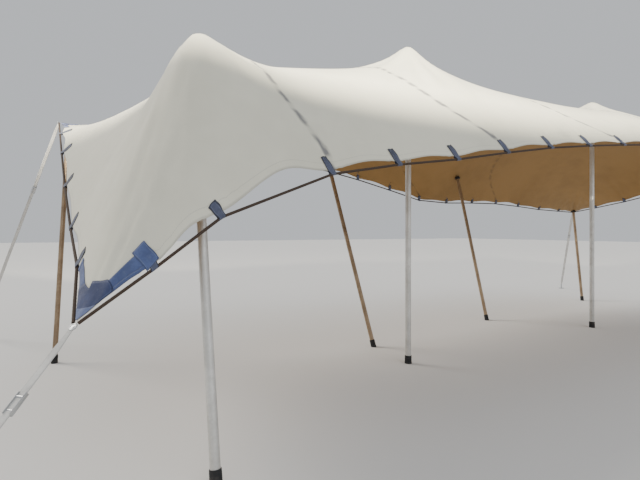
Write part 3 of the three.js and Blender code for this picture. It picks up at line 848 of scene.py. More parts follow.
@dataclass
class CanopyShape:
    """The canopy's surface between its four rope lines, with hems, seams and folds.

    Its own numbers are measured from the front left corner; its points come in the model's frame.
    """

    front: Knots = (
        (0, 0, 0.997), (0.405, 0.027, 1.289), (0.784, 0.011, 1.585), (1.65, 0.204, 1.921),
        (2.876, 0.203, 2.12), (4.102, 0.203, 2.325), (6.0, 0.19, 2.52), (8.0, 0.12, 2.62), (9.5, 0, 2.65),
    )
    back: Knots = (
        (-0.45, 3.8, 2.9), (0.8, 3.66, 2.76), (2.6, 3.64, 2.6), (3.7, 3.64, 2.43), (4.93, 3.64, 2.154),
        (5.45, 3.64, 2.04), (6.5, 3.64, 2.054), (7.6, 3.64, 2.05), (8.24, 3.64, 1.985), (9.75, 3.65, 1.93),
    )
    left: Knots = (
        (0, 0, 0.997), (0.508, -0.018, 1.304), (1.102, -0.099, 1.503), (1.76, -0.196, 1.87),
        (2.7, -0.32, 2.42), (3.8, -0.45, 2.9),
    )
    right: Knots = ((0, 9.5, 2.65), (1.2, 9.33, 2.33), (2.4, 9.4, 2.08), (3.65, 9.75, 1.93))
    seams: tuple[float, ...] = (1.65, 3.489, 5.328, 7.167)
    seam_bow: float = 0.084
    seam_turn: float = 0.075
    seam_power: float = 1.5
    first_tabs: tuple[float, ...] = (0.405, 0.784, 1.65)
    tab_pitch: float = 0.613
    side_start: float = 0.7
    ruck_deep: float = 0.092
    ruck_spread: float = 0.034
    ruck_pitch: float = 0.030
    ruck_high: float = 0.0055
    ruck_share: float = 0.2
    ruck_wander: tuple[float, float] = (1.7, 5.1)
    fold_window: float = 1.6
    fold_edge: float = 0.03
    tab_fold: tuple[float, float] = (0.013, 0.22)
    tab_fan: tuple[float, float] = (0.055, 0.32)
    peak_fold: tuple[float, float, float] = (0.012, 0.40, 0.26)
    peak_fold_turns: tuple[float, float, float] = (11, 1.3, 3)
    corner_fold: tuple[float, float, float] = (0.019, 0.5, 0.4)
    corner_fan: tuple[float, float] = (0.05, 0.11)
    crown_front: float = 4.1
    crown_back: float = 3.545
    edge_reach: tuple[float, float, float, float] = (1.215, 1.06, 1.106, 0.9)
    peak_edge_reach: float = 0.15
    peaks: tuple[Peak, ...] = (
        Peak((0.696, 0.578, 2.893), tip=0.214, reach=1.069),
        Peak((3.202, 1.311, 3.59), tip=0.12, reach=0.9),
        Peak((6.9, 1.5, 3.5), tip=0.12, reach=0.7),
    )
    edge_inset: float = 0.032
    corner_closer: float = 0.012
    corner_fade: float = 0.25
    scallop: float = 0.024
    front_scallops: tuple[float, ...] = (0.01, 0.04, 0.105)
    normal_step: float = 0.01
    anchor: tuple[float, float] = (-0.68, -0.76)
    steps: int = 60
    height_steps: int = 12
    halvings: int = 22
    hem_samples: int = 1501
    lookup: tuple[int, int] = (1200, 480)

    def __post_init__(self) -> None:
        """Works out the sizes, the tabs and the peaks' heights, and where the model's frame lies."""
        self.width = self.front[-1][0] - self.front[0][0]
        self.depth = self.right[-1][0] - self.right[0][0]
        low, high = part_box("front_left_ground_anchor")
        middle = (Vector(low) + Vector(high)) / 2
        self.shift = Vector((middle.x - self.anchor[0], middle.y - self.anchor[1], 0))
        tabs = list(self.first_tabs)
        while tabs[-1] < self.width - 1.5 * self.tab_pitch:
            tabs.append(tabs[-1] + self.tab_pitch)
        self.tabs = {
            Side.FRONT: [x / self.width for x in tabs],
            Side.BACK: [x / self.width for x in tabs],
            Side.LEFT: self._side_tabs(self.left),
            Side.RIGHT: self._side_tabs(self.right),
        }
        self.rises = np.zeros(len(self.peaks))
        self.peak_places = [self.place_of(peak.top[0], peak.top[1]) for peak in self.peaks]
        for _ in range(self.steps):
            for index, (peak, (s, t)) in enumerate(zip(self.peaks, self.peak_places)):
                self.rises[index] += peak.top[2] - self.smooth(s, t)[2][0]
        self.hems = {side: self._hem_table(side) for side in Side}
        columns, rows = self.lookup
        s, t = np.meshgrid(np.linspace(0, 1, columns + 1), np.linspace(0, 1, rows + 1), indexing="ij")
        found = self.cloth(*self.hemmed(s.ravel(), t.ravel()))
        self.table = found.T.reshape(columns + 1, rows + 1, 3)

    def _side_tabs(self, knots: Knots) -> list[float]:
        """Returns the fractions along a short side where its tabs are."""
        count = round((knots[-1][0] - knots[0][0]) / self.tab_pitch)
        return [(k + self.side_start) / (count - 1 + self.side_start) for k in range(count - 1)]

    @staticmethod
    def _along(knots: Knots, x: np.ndarray) -> tuple[np.ndarray, np.ndarray]:
        """Reads a smooth curve through knots.

        Args:
            knots: the knots, by their first coordinate.
            x: where to read it.

        Returns:
            The curve's two other coordinates.
        """
        table = np.array(knots)
        index = np.clip(np.searchsorted(table[:, 0], x) - 1, 0, len(table) - 2)
        start, end = table[index], table[index + 1]
        before, after = table[np.maximum(index - 1, 0)], table[np.minimum(index + 2, len(table) - 1)]
        span = end[:, 0] - start[:, 0]
        w = (x - start[:, 0]) / span
        w2, w3 = w**2, w**3
        values = []
        for k in (1, 2):
            first = (end[:, k] - before[:, k]) / (end[:, 0] - before[:, 0]) * span
            second = (after[:, k] - start[:, k]) / (after[:, 0] - start[:, 0]) * span
            values.append(
                (2 * w3 - 3 * w2 + 1) * start[:, k] + (w3 - 2 * w2 + w) * first
                + (3 * w2 - 2 * w3) * end[:, k] + (w3 - w2) * second
            )
        return values[0], values[1]

    def line(self, side: Side, fraction: np.ndarray) -> np.ndarray:
        """Finds points of a side's rope line, at fractions of its length in plan.

        Args:
            side: the side of the canopy.
            fraction: the fractions.

        Returns:
            The points, as (3, n).
        """
        fraction = np.atleast_1d(np.asarray(fraction, float))
        knots = getattr(self, side.value)
        run = knots[0][0] + fraction * (knots[-1][0] - knots[0][0])
        across, height = self._along(knots, run)
        if side in (Side.FRONT, Side.BACK):
            return np.stack([run, across, height])
        return np.stack([across, run, height])

    def _spanned(self, s: np.ndarray, t: np.ndarray) -> np.ndarray:
        """Finds the surface that the four rope lines alone would span.

        Args:
            s: the fraction along the front.
            t: the fraction along the side.

        Returns:
            The points, as (3, n).
        """
        front, back = self.line(Side.FRONT, s), self.line(Side.BACK, s)
        left, right = self.line(Side.LEFT, t), self.line(Side.RIGHT, t)
        f0, f1 = self.line(Side.FRONT, 0), self.line(Side.FRONT, 1)
        b0, b1 = self.line(Side.BACK, 0), self.line(Side.BACK, 1)
        return (
            (1 - t) * front + t * back + (1 - s) * left + s * right
            - (1 - s) * (1 - t) * f0 - s * (1 - t) * f1 - (1 - s) * t * b0 - s * t * b1
        )

    def _inward(self, s: np.ndarray, t: np.ndarray, reach: Sequence[float]) -> np.ndarray:
        """Finds how far in from all edges a place is.

        Args:
            s: the fraction along the front.
            t: the fraction along the side.
            reach: how fast it rises from each of the four edges.

        Returns:
            The share, from 0 at an edge towards 1.
        """
        ways = (t * self.depth, (1 - t) * self.depth, s * self.width, (1 - s) * self.width)
        share = np.ones_like(s)
        for way, length in zip(ways, reach):
            share = share * (1 - np.exp(-np.maximum(way, 0) / length))
        return share

    def smooth(self, s: np.ndarray, t: np.ndarray) -> np.ndarray:
        """Finds the surface without folds, at fractions between the rope lines.

        Args:
            s: the fraction along the front.
            t: the fraction along the side.

        Returns:
            The points, as (3, n).
        """
        s, t = np.atleast_1d(np.asarray(s, float)), np.atleast_1d(np.asarray(t, float))
        x, y, edge = self._spanned(s, t)
        crown = self.crown_front + (self.crown_back - self.crown_front) * t
        z = edge + (crown - edge) * self._inward(s, t, self.edge_reach)
        near = self._inward(s, t, [self.peak_edge_reach] * 4)
        for peak, rise in zip(self.peaks, self.rises):
            away2 = (x - peak.top[0]) ** 2 + (y - peak.top[1]) ** 2
            full = np.log(1 + (peak.reach / peak.tip) ** 2)
            shape = np.log(1 + peak.reach**2 / (away2 + peak.tip**2)) / full
            z = z + rise * shape * near
        return np.stack([x, y, z])

    @staticmethod
    def nearest(value: np.ndarray, stops: Sequence[float]) -> np.ndarray:
        """Finds the way from each value to its nearest stop.

        Args:
            value: the values.
            stops: the stops.

        Returns:
            The signed ways.
        """
        table = np.array(stops)
        gaps = value[:, None] - table[None, :]
        return gaps[np.arange(len(value)), np.abs(gaps).argmin(axis=1)]

    def folds(self, s: np.ndarray, t: np.ndarray) -> np.ndarray:
        """Adds up the folds at tabs, peaks and corners, and the front hem's rucks.

        Args:
            s: the fraction along the front.
            t: the fraction along the side.

        Returns:
            The height over the smooth surface.
        """
        x, y, _ = self._spanned(s, t)
        run, deep = s * self.width, t * self.depth
        height = np.zeros_like(s)
        for away, place, side, length in (
            (deep, s, Side.FRONT, self.width), (self.depth - deep, s, Side.BACK, self.width),
            (run, t, Side.LEFT, self.depth), (self.width - run, t, Side.RIGHT, self.depth),
        ):
            offset = self.nearest(place, self.tabs[side]) * length
            high, fade = self.tab_fold
            along = high * np.exp(-np.maximum(away, 0) / fade)
            height += along * self._fan_wave(offset, away, self.tab_fan)
        height += self._rucks(run, deep)
        high, middle, spread = self.peak_fold
        count, wander, turns = self.peak_fold_turns
        for peak in self.peaks:
            away = np.hypot(x - peak.top[0], y - peak.top[1])
            angle = np.arctan2(y - peak.top[1], x - peak.top[0])
            wave = angle * count + wander * np.sin(turns * angle)
            height += high * np.cos(wave) * np.exp(-(((away - middle) / spread) ** 2))
        high, middle, spread = self.corner_fold
        for knot, index in ((self.front[0], 0), (self.front[-1], 2), (self.back[-1], 2), (self.back[0], 1)):
            aim = np.array(self.peaks[index].top[:2]) - knot[:2]
            aim = aim / np.hypot(*aim)
            ahead = (x - knot[0]) * aim[0] + (y - knot[1]) * aim[1]
            beside = -(x - knot[0]) * aim[1] + (y - knot[1]) * aim[0]
            window = np.exp(-(((ahead - middle) / spread) ** 2))
            height += high * window * self._fan_wave(beside, ahead, self.corner_fan)
        return height * self._inward(s, t, [self.fold_edge] * 4)

    def _fan_wave(self, offset: np.ndarray, away: np.ndarray, fan: tuple[float, float]) -> np.ndarray:
        """Returns folds that spread like a fan, from 1 on the middle line and fading to its sides."""
        wide = fan[0] + fan[1] * np.maximum(away, 0)
        return np.cos(math.tau * offset / wide) * np.exp(-((offset / (self.fold_window * wide)) ** 2))

    def _rucks(self, run: np.ndarray, deep: np.ndarray) -> np.ndarray:
        """Finds the rucks gathered between two tabs of the front hem.

        Args:
            run: the way along the front.
            deep: the way in from it.

        Returns:
            Their height.
        """
        between = np.mod((run - self.first_tabs[-1]) / self.tab_pitch, 1.0) - 0.5
        gathered = np.exp(-((between / self.ruck_share) ** 2)) * (run > self.first_tabs[-1])
        gathered *= np.exp(-(((deep - self.ruck_deep) / self.ruck_spread) ** 2))
        sway, often = self.ruck_wander
        return self.ruck_high * gathered * np.sin(
            math.tau * deep / self.ruck_pitch + sway * np.sin(run * often)
        )

    def cloth(self, s: np.ndarray, t: np.ndarray) -> np.ndarray:
        """Finds the cloth's upper face, at fractions between the rope lines.

        Args:
            s: the fraction along the front.
            t: the fraction along the side.

        Returns:
            The points in the model's frame, as (3, n).
        """
        points = self.smooth(s, t)
        points[2] += self.folds(np.atleast_1d(np.asarray(s, float)), np.atleast_1d(np.asarray(t, float)))
        return points + np.array(self.shift)[:, None]

    def place_of(self, x: float, y: float) -> tuple[float, float]:
        """Finds the surface's place over a point of the plan.

        Args:
            x: the way along the front.
            y: the way back.

        Returns:
            The place, as fractions.
        """
        s, t = np.array([x / self.width]), np.array([y / self.depth])
        for _ in range(self.steps):
            over = self._spanned(s, t)
            s = s + (x - over[0]) / self.width
            t = t + (y - over[1]) / self.depth
        return float(s[0]), float(t[0])

    def looked_up(self, s: float, t: float) -> Vector:
        """Reads the cloth from the table, at fractions between the hems.

        Args:
            s: the fraction along the front.
            t: the fraction along the side.

        Returns:
            The point.
        """
        columns, rows = self.lookup
        across, back = s * columns, t * rows
        i = min(max(int(across), 0), columns - 1)
        j = min(max(int(back), 0), rows - 1)
        a, b = across - i, back - j
        table = self.table
        near = table[i, j] * (1 - b) + table[i, j + 1] * b
        far = table[i + 1, j] * (1 - b) + table[i + 1, j + 1] * b
        return Vector(near * (1 - a) + far * a)

    def height_over(self, point: Vector) -> float:
        """Finds the cloth's upper face over a point of the model's plan.

        Args:
            point: the point.

        Returns:
            The height.
        """
        s, t = (point.x - self.shift.x) / self.width, (point.y - self.shift.y) / self.depth
        for _ in range(self.height_steps):
            found = self.looked_up(s, t)
            s += (point.x - found.x) / self.width
            t += (point.y - found.y) / self.depth
        return found.z

    def inset_place(
        self, side: Side, along: np.ndarray, inset: np.ndarray,
    ) -> tuple[np.ndarray, np.ndarray]:
        """Finds places at plan distances in from a side's rope line.

        Args:
            side: the side of the canopy.
            along: fractions along the side.
            inset: plan distances in.

        Returns:
            The places, as fractions.
        """
        if side is Side.FRONT:
            return along, inset / self.depth
        if side is Side.BACK:
            return along, 1 - inset / self.depth
        if side is Side.LEFT:
            return inset / self.width, along
        return 1 - inset / self.width, along

    def plan_reach(self, side: Side, along: np.ndarray, real: np.ndarray) -> np.ndarray:
        """Turns distances measured on the surface, in from a side, into plan distances.

        Args:
            side: the side of the canopy.
            along: fractions along the side.
            real: distances on the surface.

        Returns:
            The plan distances.
        """
        start = self.smooth(*self.inset_place(side, along, np.zeros_like(along)))
        low, high = np.zeros_like(along), np.array(real, float)
        for _ in range(self.halvings):
            middle = (low + high) / 2
            away = np.linalg.norm(self.smooth(*self.inset_place(side, along, middle)) - start, axis=0)
            low, high = np.where(away < real, middle, low), np.where(away < real, high, middle)
        return (low + high) / 2

    def _hem_table(self, side: Side) -> tuple[np.ndarray, np.ndarray]:
        """Works out how far in from a side's rope its hem lies.

        Args:
            side: the side of the canopy.

        Returns:
            Fractions along the side, and the plan distances in there.
        """
        along = np.linspace(0, 1, self.hem_samples)
        stops = np.array([0.0, *self.tabs[side], 1.0])
        index = np.clip(np.searchsorted(stops, along) - 1, 0, len(stops) - 2)
        w = np.clip((along - stops[index]) / (stops[index + 1] - stops[index]), 0, 1)
        depths = [self.scallop] * (len(stops) - 1)
        if side is Side.FRONT:
            depths[: len(self.front_scallops)] = self.front_scallops
        length = self.width if side in (Side.FRONT, Side.BACK) else self.depth
        from_corner = np.minimum(along, 1 - along) * length
        gap = self.edge_inset - self.corner_closer * np.exp(-from_corner / self.corner_fade)
        real = gap + np.array(depths)[index] * np.sin(math.pi * w) ** 2
        return along, self.plan_reach(side, along, real)

    def hem_inset(self, fraction: np.ndarray, side: Side) -> np.ndarray:
        """Returns how far in over the plan the hem lies: least at each tab, most between two."""
        return np.interp(fraction, *self.hems[side])

    def seam_shift(self, s: np.ndarray, t: np.ndarray) -> np.ndarray:
        """Finds how far the threads of the cloth bow towards the left edge.

        Args:
            s: the fraction along the front.
            t: the fraction along the side.

        Returns:
            The bow, as a share of the width.
        """
        turned = [
            1 - np.exp(-((np.maximum(v, 0) / self.seam_turn) ** self.seam_power)) for v in (t, 1 - t)
        ]
        return self.seam_bow * turned[0] * turned[1] * np.sin(math.pi * s)

    def hemmed(self, s: np.ndarray, t: np.ndarray) -> tuple[np.ndarray, np.ndarray]:
        """Turns fractions between the hems into fractions between the rope lines.

        Args:
            s: the fraction along the front.
            t: the fraction along the side.

        Returns:
            The fractions between the rope lines.
        """
        front, back = (self.hem_inset(s, side) / self.depth for side in (Side.FRONT, Side.BACK))
        left, right = (self.hem_inset(t, side) / self.width for side in (Side.LEFT, Side.RIGHT))
        bowed = s - self.seam_shift(s, t)
        return left + bowed * (1 - left - right), front + t * (1 - front - back)

    def on_hem(self, s: float, t: float, lift: float) -> Vector:
        """Finds a point a little over the cloth, at fractions between the hems.

        Args:
            s: the fraction along the front.
            t: the fraction along the side.
            lift: how far over the cloth.

        Returns:
            The point.
        """
        point = self.looked_up(s, t)
        rightward = self.looked_up(s + self.normal_step / self.width, t) - point
        backward = self.looked_up(s, t + self.normal_step / self.depth) - point
        return point + rightward.cross(backward).normalized() * lift


@dataclass
class Canopy:
    """The canopy: one stretched sheet with its seams and hems."""

    shape: CanopyShape
    thickness: float = 0.0025
    step: float = 0.033
    hem_lines: tuple[float, ...] = (0.004, 0.01, 0.018, 0.024, 0.028)
    hem_proud: float = 0.0016
    hem_width: float = 0.024
    rucks: tuple[float, float] = (0.03, 0.14)
    ruck_step: float = 0.0065
    seam_lines: tuple[float, ...] = (-0.016, -0.011, 0.0, 0.011, 0.016)
    seam_proud: float = 0.0012
    seam_half: float = 0.012
    cut: tuple[float, float] = (10.2, 3.95)
    cut_area: float = 38.5

    def build(self) -> bpy.types.Object:
        """Makes the sheet.

        Returns:
            The sheet.
        """
        shape = self.shape
        us = self._lines(shape.width, self.hem_lines, shape.seams)
        near, far = self.rucks
        vs = [v for v in self._lines(shape.depth, self.hem_lines, ()) if not near < v < far]
        vs = sorted(vs + evenly(near + self.ruck_step, far - self.ruck_step, self.ruck_step))
        s, t = np.meshgrid(np.array(us) / shape.width, np.array(vs) / shape.depth)
        flat_s, flat_t = s.ravel(), t.ravel()
        points = shape.cloth(*shape.hemmed(flat_s, flat_t))
        hem = np.minimum(
            np.minimum(flat_s, 1 - flat_s) * shape.width, np.minimum(flat_t, 1 - flat_t) * shape.depth,
        )
        seam = np.abs(shape.nearest(flat_s * shape.width, shape.seams))
        points[2] += self.hem_proud * (hem < self.hem_width) + self.seam_proud * (seam < self.seam_half)
        table = {}
        for index in range(points.shape[1]):
            column, row = index % len(us), index // len(us)
            table[us[column], vs[row]] = (Vector(points[:, index]), hem[index], seam[index])
        bm = bmesh.new()
        values = {
            "hem_distance": lambda u, v: table[u, v][1],
            "hem_along": lambda u, v: v if min(u, shape.width - u) < min(v, shape.depth - v) else u,
            "seam_distance": lambda u, v: table[u, v][2],
        }
        grid_patch(bm, us, vs, lambda u, v: table[u, v][0], values)
        nodes = [f"canopy_panel_{n + 1}" for n in range(len(shape.seams) + 1)]
        # The lower face takes the darker tan copy of the cloth: painted shade on the underside.
        sheet = finished(bm, "canopy_cloth", (CLOTH_TOP, CLOTH_UNDER_PAINTED_SHADE), nodes)
        thicken(sheet, self.thickness, -1.0, under=1)
        return sheet

    def _lines(self, length: float, hems: Sequence[float], seams: Sequence[float]) -> list[float]:
        """Lays out grid lines along a length, closer at its hems and seams.

        Args:
            length: the length.
            hems: distances of lines from both ends.
            seams: where the seams are.

        Returns:
            The lines' places.
        """
        stops = [0.0, *hems, *(length - h for h in hems), length]
        for seam in seams:
            stops.extend(seam + line for line in self.seam_lines)
        stops = sorted(stops)
        lines = [0.0]
        for low, high in zip(stops, stops[1:]):
            lines.extend(evenly(low, high, self.step)[1:])
        return lines


@dataclass
class CornerPatch:
    """Reinforced corner: a long arm and a short arm along the hems, a notch between, and a tip."""

    shape: CanopyShape
    corner: Corner
    arm_start: float = 0.10
    long_run: float = 0.350
    long_widths: tuple[float, float] = (0.085, 0.130)
    binding_start: float = 0.16
    binding_width: float = 0.028
    bar_run: float = 0.064
    bar_lean: float = 0.42
    bar_width: float = 0.155
    short_run: float = 0.345
    short_width: float = 0.062
    cuff_run: float = 0.03
    overlap: float = 0.004
    outline: tuple[tuple[float, float], ...] = (
        (0.180, 0.0), (0.161, 0.086), (0.1085, 0.124), (0.086, 0.104), (0.066, 0.150), (0.0, 0.172),
    )
    tip: tuple[tuple[float, float], ...] = ((0.092, -0.001), (0.046, 0.032), (-0.001, 0.064))
    bar_layer: float = 2.2
    body_layer: float = 2.5
    tip_layer: float = 3.8
    lift: float = 0.003
    layer: float = 0.0012
    thickness: float = 0.0016
    grid: float = 0.015
    fan_pitch: float = 0.05
    fan_reach: float = 0.16
    fan_steps: int = 6
    fan_gap: float = 0.003
    blend: tuple[float, float] = (0.2, 0.8)
    halvings: int = 12

    def build(self) -> bpy.types.Object:
        """Makes the patch.

        Returns:
            The patch.
        """
        bm = bmesh.new()
        long_end, short_end = self.long_run, self.short_run
        self._strip(bm, (self.arm_start, long_end), (0.0, self.long_widths[1]), False, 0, tapered=True)
        bar = (long_end - self.overlap, long_end + self.bar_run)
        self._strip(bm, bar, (-self.overlap, self.bar_width), False, self.bar_layer, self.bar_lean)
        self._strip(bm, (self.binding_start, long_end), (0.0, self.binding_width), False, 1)
        self._strip(bm, (self.arm_start, short_end), (0.0, self.short_width), True, 0)
        cuff = (short_end - self.cuff_run, short_end + 0.006)
        self._strip(bm, cuff, (-0.003, self.short_width + 0.008), True, 1)
        finishes = (CORNER_CLOTH, CORNER_TIP, CORNER_BODY)
        for outline, layer, finish in (
            (self.outline, self.body_layer, CORNER_BODY), (self.tip, self.tip_layer, CORNER_TIP),
        ):
            before = len(bm.faces)
            self._fan(bm, outline, layer)
            bm.faces.ensure_lookup_table()
            for face in bm.faces[before:]:
                face.material_index = finishes.index(finish)
        bmesh.ops.recalc_face_normals(bm, faces=bm.faces[:])
        node = f"{self.corner.label}_corner_patch"
        patch = finished(bm, f"{node}_cloth", finishes, [node])
        thicken(patch, self.thickness, 0.0)
        return patch

    def _inward(self, along: float, real: float, swap: bool) -> tuple[float, float]:
        """Finds a place on the cloth from its distances along and in from a hem.

        Args:
            along: the plan distance along the hem from the corner.
            real: the distance inwards, measured on the cloth.
            swap: whether the hem is the short one.

        Returns:
            The place, as fractions between the hems.
        """
        width, depth = self.shape.width, self.shape.depth

        def at(inset: float) -> tuple[float, float]:
            """Finds the place at a plan distance inwards.

            Args:
                inset: the plan distance.

            Returns:
                The place, as fractions.
            """
            s, t = (inset / width, along / depth) if swap else (along / width, inset / depth)
            flip_s, flip_t = self.corner.fractions
            return (1 - s if flip_s else s), (1 - t if flip_t else t)

        start = self.shape.looked_up(*at(0.0))
        low, high = 0.0, abs(real)
        for _ in range(self.halvings):
            middle = (low + high) / 2
            if (self.shape.looked_up(*at(middle)) - start).length < abs(real):
                low = middle
            else:
                high = middle
        return at(math.copysign((low + high) / 2, real))

    def _place(self, along: float, inward: float, swap: bool, layer: float) -> Vector:
        """Returns the lifted point at a distance along one hem and a real distance inwards."""
        return self.shape.on_hem(*self._inward(along, inward, swap), self.lift + layer * self.layer)

    def _strip(
        self, bm: bmesh.types.BMesh, run: tuple[float, float], across: tuple[float, float], swap: bool,
        layer: float, lean: float = 0.0, tapered: bool = False,
    ) -> None:
        """Adds a strip along one of the corner's hems.

        Args:
            bm: the mesh to add to.
            run: where the strip starts and ends along the hem.
            across: where it starts and ends inwards.
            swap: whether it runs along the short hem.
            layer: how many layers of cloth lie under it.
            lean: how far it leans along the hem for each metre inwards.
            tapered: whether it narrows towards the patch's body.
        """
        us, vs = evenly(*run, self.grid), evenly(*across, self.grid)
        middle = sum(run) / 2
        low, high = self.long_widths
        start = self.outline[1][0]

        def place(u: float, v: float) -> Vector:
            """Leans a point of the strip as a square-ended band, or narrows it.

            Args:
                u: the grid's first coordinate.
                v: the grid's second coordinate.

            Returns:
                The point.
            """
            if tapered:
                grown = min(max((u - start) / (self.long_run - start), 0.0), 1.0)
                v *= (low + (high - low) * grown) / high
            return self._place(u - lean * v, v + lean * (u - middle), swap, layer)

        grid_patch(bm, us, vs, place)

    def _fan(self, bm: bmesh.types.BMesh, outline: tuple[tuple[float, float], ...], layer: float) -> None:
        """Adds a piece that fans out from the corner between its two hems.

        Args:
            bm: the mesh to add to.
            outline: its outer corners, as distances off the long and the short hem's ends.
            layer: how many layers of cloth lie under it.
        """
        pitch, steps = self.fan_pitch, self.fan_steps
        stops = [k * pitch / steps for k in range(steps * (len(outline) - 1) + 1)]
        first, last = self.blend

        def place(u: float, v: float) -> Vector:
            """Blends from distances off the long hem to distances off the short hem.

            Args:
                u: the grid's first coordinate.
                v: the grid's second coordinate.

            Returns:
                The point.
            """
            index = min(int(u / pitch), len(outline) - 2)
            (a0, b0), (a1, b1) = outline[index : index + 2]
            along = u / pitch - index
            a, b = (v / self.fan_reach * (x0 + (x1 - x0) * along) for x0, x1 in ((a0, a1), (b0, b1)))
            turn = math.atan2(b, a) / (math.pi / 2)
            share = min(max((turn - first) / (last - first), 0.0), 1.0)
            share = share * share * (3 - 2 * share)
            return self._place(a, b, False, layer).lerp(self._place(b, a, True, layer), share)

        grid_patch(bm, stops, evenly(self.fan_gap, self.fan_reach, self.grid), place)


# Rope and tabs


@dataclass
class EdgeRope:
    """The rope along one side, with the webbing tabs that join it to the hem."""

    shape: CanopyShape
    side: Side
    radius: float = 0.010
    plate_radius: float = 0.024
    lean: float = 0.42
    strand_lay: float = 0.09
    strands: int = 3
    hollow: tuple[float, float] = (0.86, 0.16)
    bend: tuple[float, ...] = (-0.03, -0.012, 0, 0.012, 0.03)
    end_overlap: float = 0.004
    round_steps: int = 12
    step: float = 0.015
    tab_width: float = 0.05
    tab_thick: float = 0.002
    tab_reach: tuple[float, ...] = (0.14, 0.12, 0.102, 0.085, 0.07, 0.057, 0.046, 0.036)
    under_reach: tuple[float, ...] = (0.038, 0.05, 0.066, 0.085)
    square_end: float = 0.03
    cloth_gap: float = 0.0022
    cloth_thick: float = 0.0025
    loop_steps: int = 8
    tab_columns: int = 6

    def build(self) -> bpy.types.Object:
        """Makes the rope and its tabs.

        Returns:
            The tabs.
        """
        node = f"{self.side.value}_edge_rope"
        rope = self._rope(f"{node}_line")
        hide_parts(node)
        return self._tabs(f"{self.side.value}_edge_tabs")

    def _knots(self) -> list[Vector]:
        """Finds the rope's points at its ends and tabs.

        Returns:
            The points, in order.
        """
        fractions = np.array([0, *self.shape.tabs[self.side], 1])
        points = self.shape.line(self.side, fractions).T + np.array(self.shape.shift)
        knots = [Vector(p) for p in points]
        for end, nearer in ((0, 1), (-1, -2)):
            run = knots[nearer] - knots[end]
            knots[end] = knots[end] + run.normalized() * (self.plate_radius - self.end_overlap)
        return knots

    def _rope(self, name: str) -> bpy.types.Object:
        """Makes the three-strand rope, pulled a little out of line by each tab.

        Args:
            name: the piece's name.

        Returns:
            The rope.
        """
        knots = self._knots()
        spans = [(b - a).length for a, b in zip(knots, knots[1:])]
        starts = [sum(spans[:n]) for n in range(len(spans) + 1)]
        total = starts[-1]

        def centre(length: float) -> Vector:
            """Finds a point of the straight runs between knots.

            Args:
                length: the length along the rope.

            Returns:
                The point.
            """
            index = min(max(n for n in range(len(spans)) if starts[n] <= length + 1e-9), len(spans) - 1)
            share = (length - starts[index]) / spans[index]
            return knots[index].lerp(knots[index + 1], min(max(share, 0.0), 1.0))

        def smooth(length: float) -> Vector:
            """Rounds the bends over a few rope widths."""
            near = [centre(min(max(length + off, 0.0), total)) for off in self.bend]
            return sum(near, Vector()) / len(near)

        along = evenly(0.0, total, self.step)
        centres = {length: smooth(length) for length in along}
        ways = {}
        for index, length in enumerate(along):
            nearer, further = along[max(index - 1, 0)], along[min(index + 1, len(along) - 1)]
            ways[length] = (centres[further] - centres[nearer]).normalized()

        def place(length: float, turn: float) -> Vector:
            """Finds a point of the rope's twisted section.

            Args:
                length: the length along the rope.
                turn: the turn round it, from 0 to 1.

            Returns:
                The point.
            """
            way = ways[length]
            across = Vector((0, 0, 1)).cross(way).normalized()
            up = way.cross(across)
            angle = math.tau * turn
            lobe = abs(math.sin(self.strands / 2 * (angle - math.tau * length / self.strand_lay)))
            size = self.radius * (self.hollow[0] + self.hollow[1] * lobe)
            return centres[length] + (across * math.cos(angle) + up * math.sin(angle)) * size

        bm = bmesh.new()
        turns = [k / self.round_steps for k in range(self.round_steps + 1)]
        grid_patch(bm, along, turns, place)
        bmesh.ops.remove_doubles(bm, verts=bm.verts[:], dist=1e-5)
        bmesh.ops.holes_fill(bm, edges=[e for e in bm.edges if e.is_boundary], sides=self.round_steps + 2)
        bmesh.ops.recalc_face_normals(bm, faces=bm.faces[:])
        return finished(bm, name, (EDGE_ROPE,), sharp=1.4)

    def _tabs(self, name: str) -> bpy.types.Object:
        """Makes all the side's tabs, each a strip from the cloth round the rope and back under.

        Args:
            name: the piece's name.

        Returns:
            The tabs.
        """
        bm = bmesh.new()
        for fraction in self.shape.tabs[self.side]:
            self._tab(bm, fraction)
        bmesh.ops.recalc_face_normals(bm, faces=bm.faces[:])
        tabs = finished(bm, name, (TAB_WEBBING,), sharp=1.2)
        thicken(tabs, self.tab_thick, 0.0)
        return tabs

    def _tab(self, bm: bmesh.types.BMesh, fraction: float) -> None:
        """Adds one tab.

        Args:
            bm: the mesh to add to.
            fraction: where the tab is along the side.
        """
        shape, step = self.shape, 0.002
        ends = shape.line(self.side, np.array([fraction - step, fraction + step]))
        side = Vector(ends[:, 1] - ends[:, 0]).normalized()
        rope = Vector(shape.line(self.side, np.array([fraction]))[:, 0]) + shape.shift
        inward = Vector((-side.y, side.x, 0)).normalized()
        middle = Vector(shape.smooth(0.5, 0.5)[:, 0]) + shape.shift
        if inward.dot(middle - rope) < 0:
            inward.negate()
        spread = np.array([*self.tab_reach, *self.under_reach])
        planned = shape.plan_reach(self.side, np.full_like(spread, fraction), spread)
        count = len(self.tab_reach)
        upper, lower = planned[:count], planned[count:]
        slanted = dict(zip(planned, spread))
        beneath = rope + inward * upper[-1]
        climb = (Vector((beneath.x, beneath.y, shape.height_over(beneath))) - rope).normalized()
        upward = climb.cross(side).normalized()
        if upward.z < 0:
            upward.negate()

        def over(distance: float, offset: float, lift: float) -> Vector:
            """Finds a point over or under the cloth, leaning as it goes in.

            Args:
                distance: the plan distance in from the rope.
                offset: the way across the tab.
                lift: the way up from the cloth.

            Returns:
                The point.
            """
            real = slanted[distance]
            square = min(max((real - self.tab_reach[-1]) / self.square_end, 0.0), 1.0) * self.lean * offset
            plan = rope + inward * (distance * (1 + square / real)) + side * (offset - self.lean * real)
            return Vector((plan.x, plan.y, shape.height_over(plan))) + upward * lift

